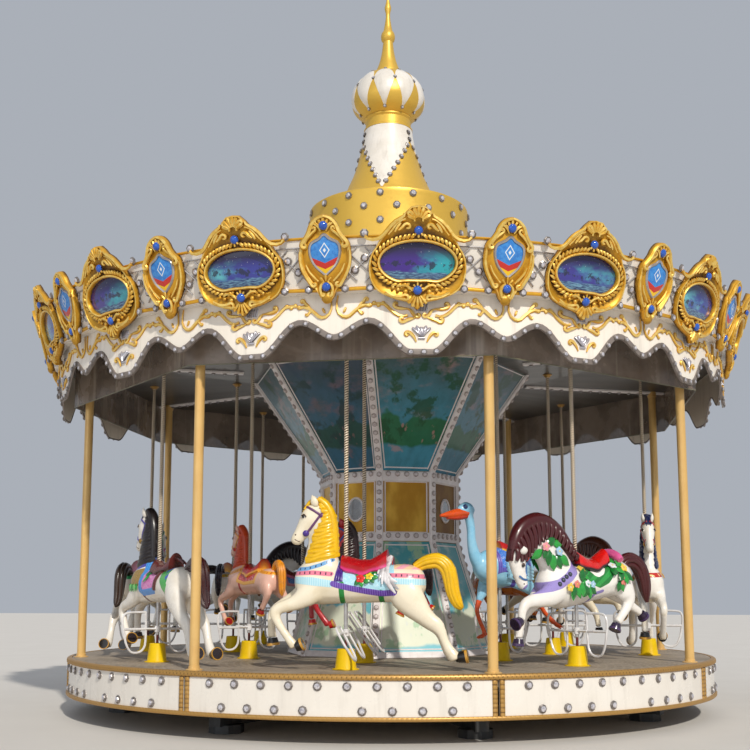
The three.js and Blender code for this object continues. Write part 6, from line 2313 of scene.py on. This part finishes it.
def figure_inner_horses():
    """The six smaller horses of the inner row."""
    skin = FIGURES["trot"][1]
    for name, bay, coat, hair, cloth, hem, seat, boots, tail_hair in (
        ("horse_inner_1", 0, "b3202a", "2a1416", "d8303c", "2c4a9c", "c0262c", "d01f1c", None),
        ("horse_inner_3", 2, "f0e9df", "6a3420", "3fa0b8", "f0c23a", "a82424", "141110", None),
        ("horse_inner_5", 4, "e9dcc0", "3a2a20", "b84a8c", "f0d060", "2c6a44", "2a1c14", None),
        ("horse_inner_6", 5, "efe9e2", "8a4a20", "4a7ac8", "e87a9c", "7a2a20", "1c1614", None),
        ("horse_inner_7", 6, "f1ece4", "1f1c2c", "5ab06a", "e8b040", "8c2c24", "141110", None),
        ("horse_inner_8", 7, "e9b9a6", "d2481c", "c02420", "f0a83a", "b8181c", "9c1a1c", "f09a22"),
    ):
        colours = {**COAT_DEFAULTS, "Coat": coat, "Coat shade": coat, "cloth": cloth, "hem": hem,
                   "hem light": "f4dc90", "strap": hem, "girth": seat, "dots": cloth}
        details = [saddle(seat, hem), *bridle(skin, hem, cloth),
                   flowers_on(skin, [(-.15, .78, .036, hem, seat)])]
        tail = [tinted(shape, tail_hair or hair) for shape in low_tail()]
        build_figure(name, "trot", bay, INNER_ROW, dress_plain, colours, hair, details + tail,
                     high_mane(skin), hooves(TROT_HOOVES, boots), INNER_SIZE, INNER_LIFT)


def figure_deer():
    """The brown deer, with a pale muzzle, pointed ears and a thin pale tail."""
    skin = FIGURES["trot"][1]
    colours = {**COAT_DEFAULTS, "Coat": "cf6a1c", "Coat shade": "e08a3a", "cloth": "c23a2c", "hem": "f0c23a",
               "hem light": "f8e6a0", "strap": "8a2a20", "girth": "7a2a1c", "dots": "f0c23a"}
    inner = tinted(ear((262, 58, 1362), (272, 112, 1446), 0.028, 0.010), "efe6da")
    outer = tinted(ear((250, 56, 1356), (258, 114, 1452), 0.036, 0.010), "cf6a1c")
    at_mouth = seats(skin.place([(.405, 1.100)], -0.008), (0, 1, 0), (1, 0, 0))
    muzzle = tinted(both_sides(spread(gem(0.040, 12), at_mouth)), "f2ebe0")
    details = [saddle("a8241c", "f0c23a"), inner, outer, muzzle,
               button_on(skin, [(.355, 1.255)], 0.034, "f2ebe0", -0.006), *eyes(skin, .352, 1.258, "3a1c10"),
               tinted(gather(low_tail(0.55)), "f2ebe0")]
    build_figure("deer", "trot", 3, INNER_ROW, dress_plain, colours, "cf6a1c", details, [],
                 hooves(TROT_HOOVES, "3a2016"), INNER_SIZE, INNER_LIFT)


def figure_ostrich():
    """The blue ostrich, with orange beak and legs, and pale plumes and wings."""
    skin = FIGURES["bird"][1]
    orange, deep = "e8581c", "c23a12"
    colours = {**COAT_DEFAULTS, "Coat": "8fcdec", "Coat shade": "b4dff2", "cloth": "3f7fe0", "hem": "5a50b0",
               "hem light": "9a8cd8", "girth": "5a50b0"}
    beak = limb([(408, 0, 1364, 34, 48), (500, 0, 1362, 44, 44), (610, 0, 1344, 34, 30),
                 (722, 0, 1330, 12, 13)], 12)
    lower = limb([(420, 0, 1334, 24, 42), (510, 0, 1322, 26, 34), (640, 0, 1310, 12, 16)], 12)
    shanks = [limb([(-380, 114, 590, 32, 29), (-420, 114, 520, 23, 21), (-470, 114, 450, 20, 19),
                    (-530, 114, 400, 20, 18), (-590, 114, 352, 26, 26)]),
              limb([(160, -114, 555, 30, 27), (188, -114, 470, 21, 20), (160, -114, 380, 19, 19),
                    (112, -114, 290, 20, 19), (92, -114, 236, 25, 25)])]
    toes = []
    for x, y, z, ways in ((-592, 114, 350, ((-95, 30, -50), (-100, 0, -64), (-90, -30, -50))),
                          (92, -114, 238, ((80, 30, -26), (90, 0, -30), (76, -30, -26)))):
        for dx, dy, dz in ways:
            middle, end = (x + dx * .6, y + dy * .6, z + dz * .6, 15, 15), (x + dx, y + dy, z + dz, 6, 6)
            toes.append(limb([(x, y, z, 18, 18), middle, end], 8, 8))
    plumes = []
    for k in range(7):
        a = (k - 3) / 3
        rows = [(-330, 50 * a, 930, 40, 34), (-440, 90 * a, 1010 + 20 * (1 - abs(a)), 46, 34),
                (-540, 115 * a, 1060 + 10 * (k % 2), 38, 26), (-592, 120 * a, 1020, 14, 12)]
        plumes.append(limb(rows, 10, 16))
    wing = [limb([(60 - 10 * k, 166, 900 - 34 * k, 34, 16), (-120, 176, 880 - 36 * k, 40, 20),
                  (-300, 150, 850 - 30 * k, 12, 8)], 8, 14) for k in range(4)]
    seat = saddle("c42a2a", "f0c23a", flap=0.8)
    seat = seat.at(seat.points + (0, 0, 0.185))
    pale = "a4d8f0"
    eye_patch = button_on(skin, [(.452, 1.422)], 0.025, "16306e", -0.004)
    details = [tinted(gather([beak, *shanks, *toes]), orange), tinted(lower, deep),
               tinted(gather(plumes), pale), tinted(both_sides(gather(wing)), pale), seat, eye_patch,
               button_on(skin, [(.455, 1.424)], 0.015, "c8d4dc", 0.004),
               button_on(skin, [(.457, 1.424)], 0.010, "101014", 0.009)]
    build_figure("ostrich", "bird", 1, INNER_ROW, dress_bird, colours, "8fcdec", details, [], [])


# Stage


def build_stage():
    """A pale floor under a soft sky, a key light from the front right, a fill light, and the camera."""
    scene = bpy.context.scene
    t = np.linspace(-1, 1, 9)
    u, v = np.meshgrid(t, t, indexing="ij")
    mesh = mesh_from("floor", Shape(np.stack([60 * u, 60 * v, 0 * u - 0.002], -1),
                                    grid(np.zeros((9, 9, 3))).quads))
    board, shader = new_material("pale floor")
    speck = board.noise(board.place(), 1.2, 4.0)
    set_shader(board, shader, Base_Color=board.mix(speck, "cfcac4", "dad6d0"), Roughness=0.8)
    mesh.materials.append(FINISHES["pale floor"])
    floor = bpy.data.objects.new("floor", mesh)
    scene.collection.objects.link(floor)
    world = bpy.data.worlds.new("studio")
    scene.world = world
    scene.view_settings.view_transform = "Standard"
    world.use_nodes = True
    world.node_tree.nodes["Background"].inputs["Color"].default_value = (0.84, 0.90, 1.0, 1.0)
    world.node_tree.nodes["Background"].inputs["Strength"].default_value = 0.48
    for name, kind, energy, size, aim, colour in (
        ("key", "SUN", 2.8, math.radians(2.0), (-0.38, 0.713, -0.588), (1.0, 0.95, 0.86)),
        ("fill", "SUN", 0.45, math.radians(50), (0.35, 0.9, -0.1), (0.94, 0.97, 1.0)),
    ):
        light = bpy.data.lights.new(name, kind)
        light.energy, light.angle, light.color = energy, size, colour
        lamp = bpy.data.objects.new(name, light)
        lamp.rotation_euler = Vector(aim).to_track_quat("-Z", "Y").to_euler()
        scene.collection.objects.link(lamp)
    lens = bpy.data.cameras.new("camera")
    lens.lens, lens.sensor_width, lens.shift_x, lens.shift_y, lens.clip_end = 52.23, 36.0, 0.0089, 0.10, 200.0
    camera = bpy.data.objects.new("camera", lens)
    camera.location = (1.576, -11.658, 1.135)
    camera.rotation_euler = (math.radians(97.672), 0.0, math.radians(8.80))
    scene.collection.objects.link(camera)
    scene.camera = camera


# Operators and panel


def prepare():
    """The finishes and bodies that the pieces share."""
    make_groups_once()
    make_finishes()
    make_tack_group()
    make_enamel()
    sculpt_figures()


class CAROUSEL_OT_prepare(bpy.types.Operator):
    """Make the shared finishes and the four kinds of carved body"""

    bl_idname = "carousel.prepare"
    bl_label = "Mix finishes and sculpt bodies"

    def execute(self, context):
        prepare()
        return {"FINISHED"}


class CAROUSEL_OT_deck(bpy.types.Operator):
    """Deck plate with its boots"""

    bl_idname = "carousel.deck"
    bl_label = "Deck"

    def execute(self, context):
        build_deck(context.scene.carousel_sizes)
        return {"FINISHED"}


class CAROUSEL_OT_skirt(bpy.types.Operator):
    """White skirt panels with gold rims and crystals"""

    bl_idname = "carousel.skirt"
    bl_label = "Skirt"

    def execute(self, context):
        build_skirt(context.scene.carousel_sizes)
        return {"FINISHED"}


class CAROUSEL_OT_posts(bpy.types.Operator):
    """Eight posts that carry the canopy"""

    bl_idname = "carousel.posts"
    bl_label = "Posts"

    def execute(self, context):
        build_posts(context.scene.carousel_sizes)
        return {"FINISHED"}


class CAROUSEL_OT_ceiling(bpy.types.Operator):
    """Painted ceiling with bulb ribs"""

    bl_idname = "carousel.ceiling"
    bl_label = "Ceiling"

    def execute(self, context):
        build_ceiling()
        return {"FINISHED"}


class CAROUSEL_OT_roof(bpy.types.Operator):
    """Roof gores with seams"""

    bl_idname = "carousel.roof"
    bl_label = "Roof"

    def execute(self, context):
        build_roof()
        return {"FINISHED"}


class CAROUSEL_OT_valance(bpy.types.Operator):
    """Wavy valance with border, bulbs and scrolls"""

    bl_idname = "carousel.valance"
    bl_label = "Valance"

    def execute(self, context):
        build_valance(context.scene.carousel_sizes)
        return {"FINISHED"}


class CAROUSEL_OT_film(bpy.types.Operator):
    """See-through band under the ceiling's edge"""

    bl_idname = "carousel.film"
    bl_label = "Smoky band"

    def execute(self, context):
        build_film()
        return {"FINISHED"}


class CAROUSEL_OT_crown_wall(bpy.types.Operator):
    """White leaning wall of the crown"""

    bl_idname = "carousel.crown_wall"
    bl_label = "Crown wall"

    def execute(self, context):
        build_crown_wall(context.scene.carousel_sizes)
        return {"FINISHED"}


class CAROUSEL_OT_crown_frames(bpy.types.Operator):
    """Gold oval frames and shields"""

    bl_idname = "carousel.crown_frames"
    bl_label = "Crown frames"

    def execute(self, context):
        build_crown_frames(context.scene.carousel_sizes)
        return {"FINISHED"}


class CAROUSEL_OT_crown_lattice(bpy.types.Operator):
    """Silver rods and crystals between the frames"""

    bl_idname = "carousel.crown_lattice"
    bl_label = "Crown lattice"

    def execute(self, context):
        build_crown_lattice()
        return {"FINISHED"}


class CAROUSEL_OT_centre(bpy.types.Operator):
    """Painted and mirrored centre housing"""

    bl_idname = "carousel.centre"
    bl_label = "Centre"

    def execute(self, context):
        build_centre()
        return {"FINISHED"}


class CAROUSEL_OT_dome(bpy.types.Operator):
    """Gold tower with white panels"""

    bl_idname = "carousel.dome"
    bl_label = "Dome"

    def execute(self, context):
        build_dome(context.scene.carousel_sizes)
        return {"FINISHED"}


class CAROUSEL_OT_horse_front(bpy.types.Operator):
    """Galloping cream horse with a yellow mane"""

    bl_idname = "carousel.horse_front"
    bl_label = "Cream horse"

    def execute(self, context):
        figure_horse_front()
        return {"FINISHED"}


class CAROUSEL_OT_horse_dark(bpy.types.Operator):
    """White horse with a black mane"""

    bl_idname = "carousel.horse_dark"
    bl_label = "Dark maned horse"

    def execute(self, context):
        figure_horse_dark_mane()
        return {"FINISHED"}


class CAROUSEL_OT_horses_gallop(bpy.types.Operator):
    """Three more galloping horses of the outer row"""

    bl_idname = "carousel.horses_gallop"
    bl_label = "Other galloping horses"

    def execute(self, context):
        figure_horses_outer_gallop()
        return {"FINISHED"}


class CAROUSEL_OT_horse_garland(bpy.types.Operator):
    """White prancing horse with a flower garland"""

    bl_idname = "carousel.horse_garland"
    bl_label = "Garlanded horse"

    def execute(self, context):
        figure_horse_garland()
        return {"FINISHED"}


class CAROUSEL_OT_horses_prance(bpy.types.Operator):
    """Two more prancing horses of the outer row"""

    bl_idname = "carousel.horses_prance"
    bl_label = "Other prancing horses"

    def execute(self, context):
        figure_horses_outer_prance()
        return {"FINISHED"}


class CAROUSEL_OT_inner_horses(bpy.types.Operator):
    """Six small horses of the inner row"""

    bl_idname = "carousel.inner_horses"
    bl_label = "Inner horses"

    def execute(self, context):
        figure_inner_horses()
        return {"FINISHED"}


class CAROUSEL_OT_deer(bpy.types.Operator):
    """Orange deer of the inner row"""

    bl_idname = "carousel.deer"
    bl_label = "Deer"

    def execute(self, context):
        figure_deer()
        return {"FINISHED"}


class CAROUSEL_OT_ostrich(bpy.types.Operator):
    """Light blue ostrich of the inner row"""

    bl_idname = "carousel.ostrich"
    bl_label = "Ostrich"

    def execute(self, context):
        figure_ostrich()
        return {"FINISHED"}


class CAROUSEL_OT_stage(bpy.types.Operator):
    """Floor, lights and camera"""

    bl_idname = "carousel.stage"
    bl_label = "Stage"

    def execute(self, context):
        build_stage()
        return {"FINISHED"}


BUILDERS = (
    CAROUSEL_OT_prepare,
    CAROUSEL_OT_deck,
    CAROUSEL_OT_skirt,
    CAROUSEL_OT_posts,
    CAROUSEL_OT_ceiling,
    CAROUSEL_OT_roof,
    CAROUSEL_OT_valance,
    CAROUSEL_OT_film,
    CAROUSEL_OT_crown_wall,
    CAROUSEL_OT_crown_frames,
    CAROUSEL_OT_crown_lattice,
    CAROUSEL_OT_centre,
    CAROUSEL_OT_dome,
    CAROUSEL_OT_horse_front,
    CAROUSEL_OT_horse_dark,
    CAROUSEL_OT_horses_gallop,
    CAROUSEL_OT_horse_garland,
    CAROUSEL_OT_horses_prance,
    CAROUSEL_OT_inner_horses,
    CAROUSEL_OT_deer,
    CAROUSEL_OT_ostrich,
    CAROUSEL_OT_stage,
)


class CAROUSEL_PT_pieces(bpy.types.Panel):
    """Lists the steps that build the carousel, and the sizes and colours they use"""

    bl_idname = "CAROUSEL_PT_pieces"
    bl_label = "Carousel"
    bl_space_type = "VIEW_3D"
    bl_region_type = "UI"
    bl_category = "Carousel"

    def draw(self, context):
        for group in (context.scene.carousel_sizes, context.scene.carousel_colours):
            for key in group.bl_rna.properties.keys():
                if key not in ("rna_type", "name"):
                    self.layout.prop(group, key)
        for builder in BUILDERS:
            self.layout.operator(builder.bl_idname)


CLASSES = (CarouselSizes, CarouselColours, *BUILDERS, CAROUSEL_PT_pieces)


def register():
    """Registers the classes and puts the sizes and colours on the scene."""
    for item in CLASSES:
        bpy.utils.register_class(item)
    bpy.types.Scene.carousel_sizes = PointerProperty(type=CarouselSizes)
    bpy.types.Scene.carousel_colours = PointerProperty(type=CarouselColours)


def unregister():
    """Takes the sizes, colours and classes away again."""
    del bpy.types.Scene.carousel_colours
    del bpy.types.Scene.carousel_sizes
    for item in reversed(CLASSES):
        bpy.utils.unregister_class(item)


def main():
    """Registers the add-on and builds every piece in order."""
    register()
    for builder in BUILDERS:
        getattr(bpy.ops.carousel, builder.bl_idname.split(".")[1])()


if __name__ == "__main__":
    main()
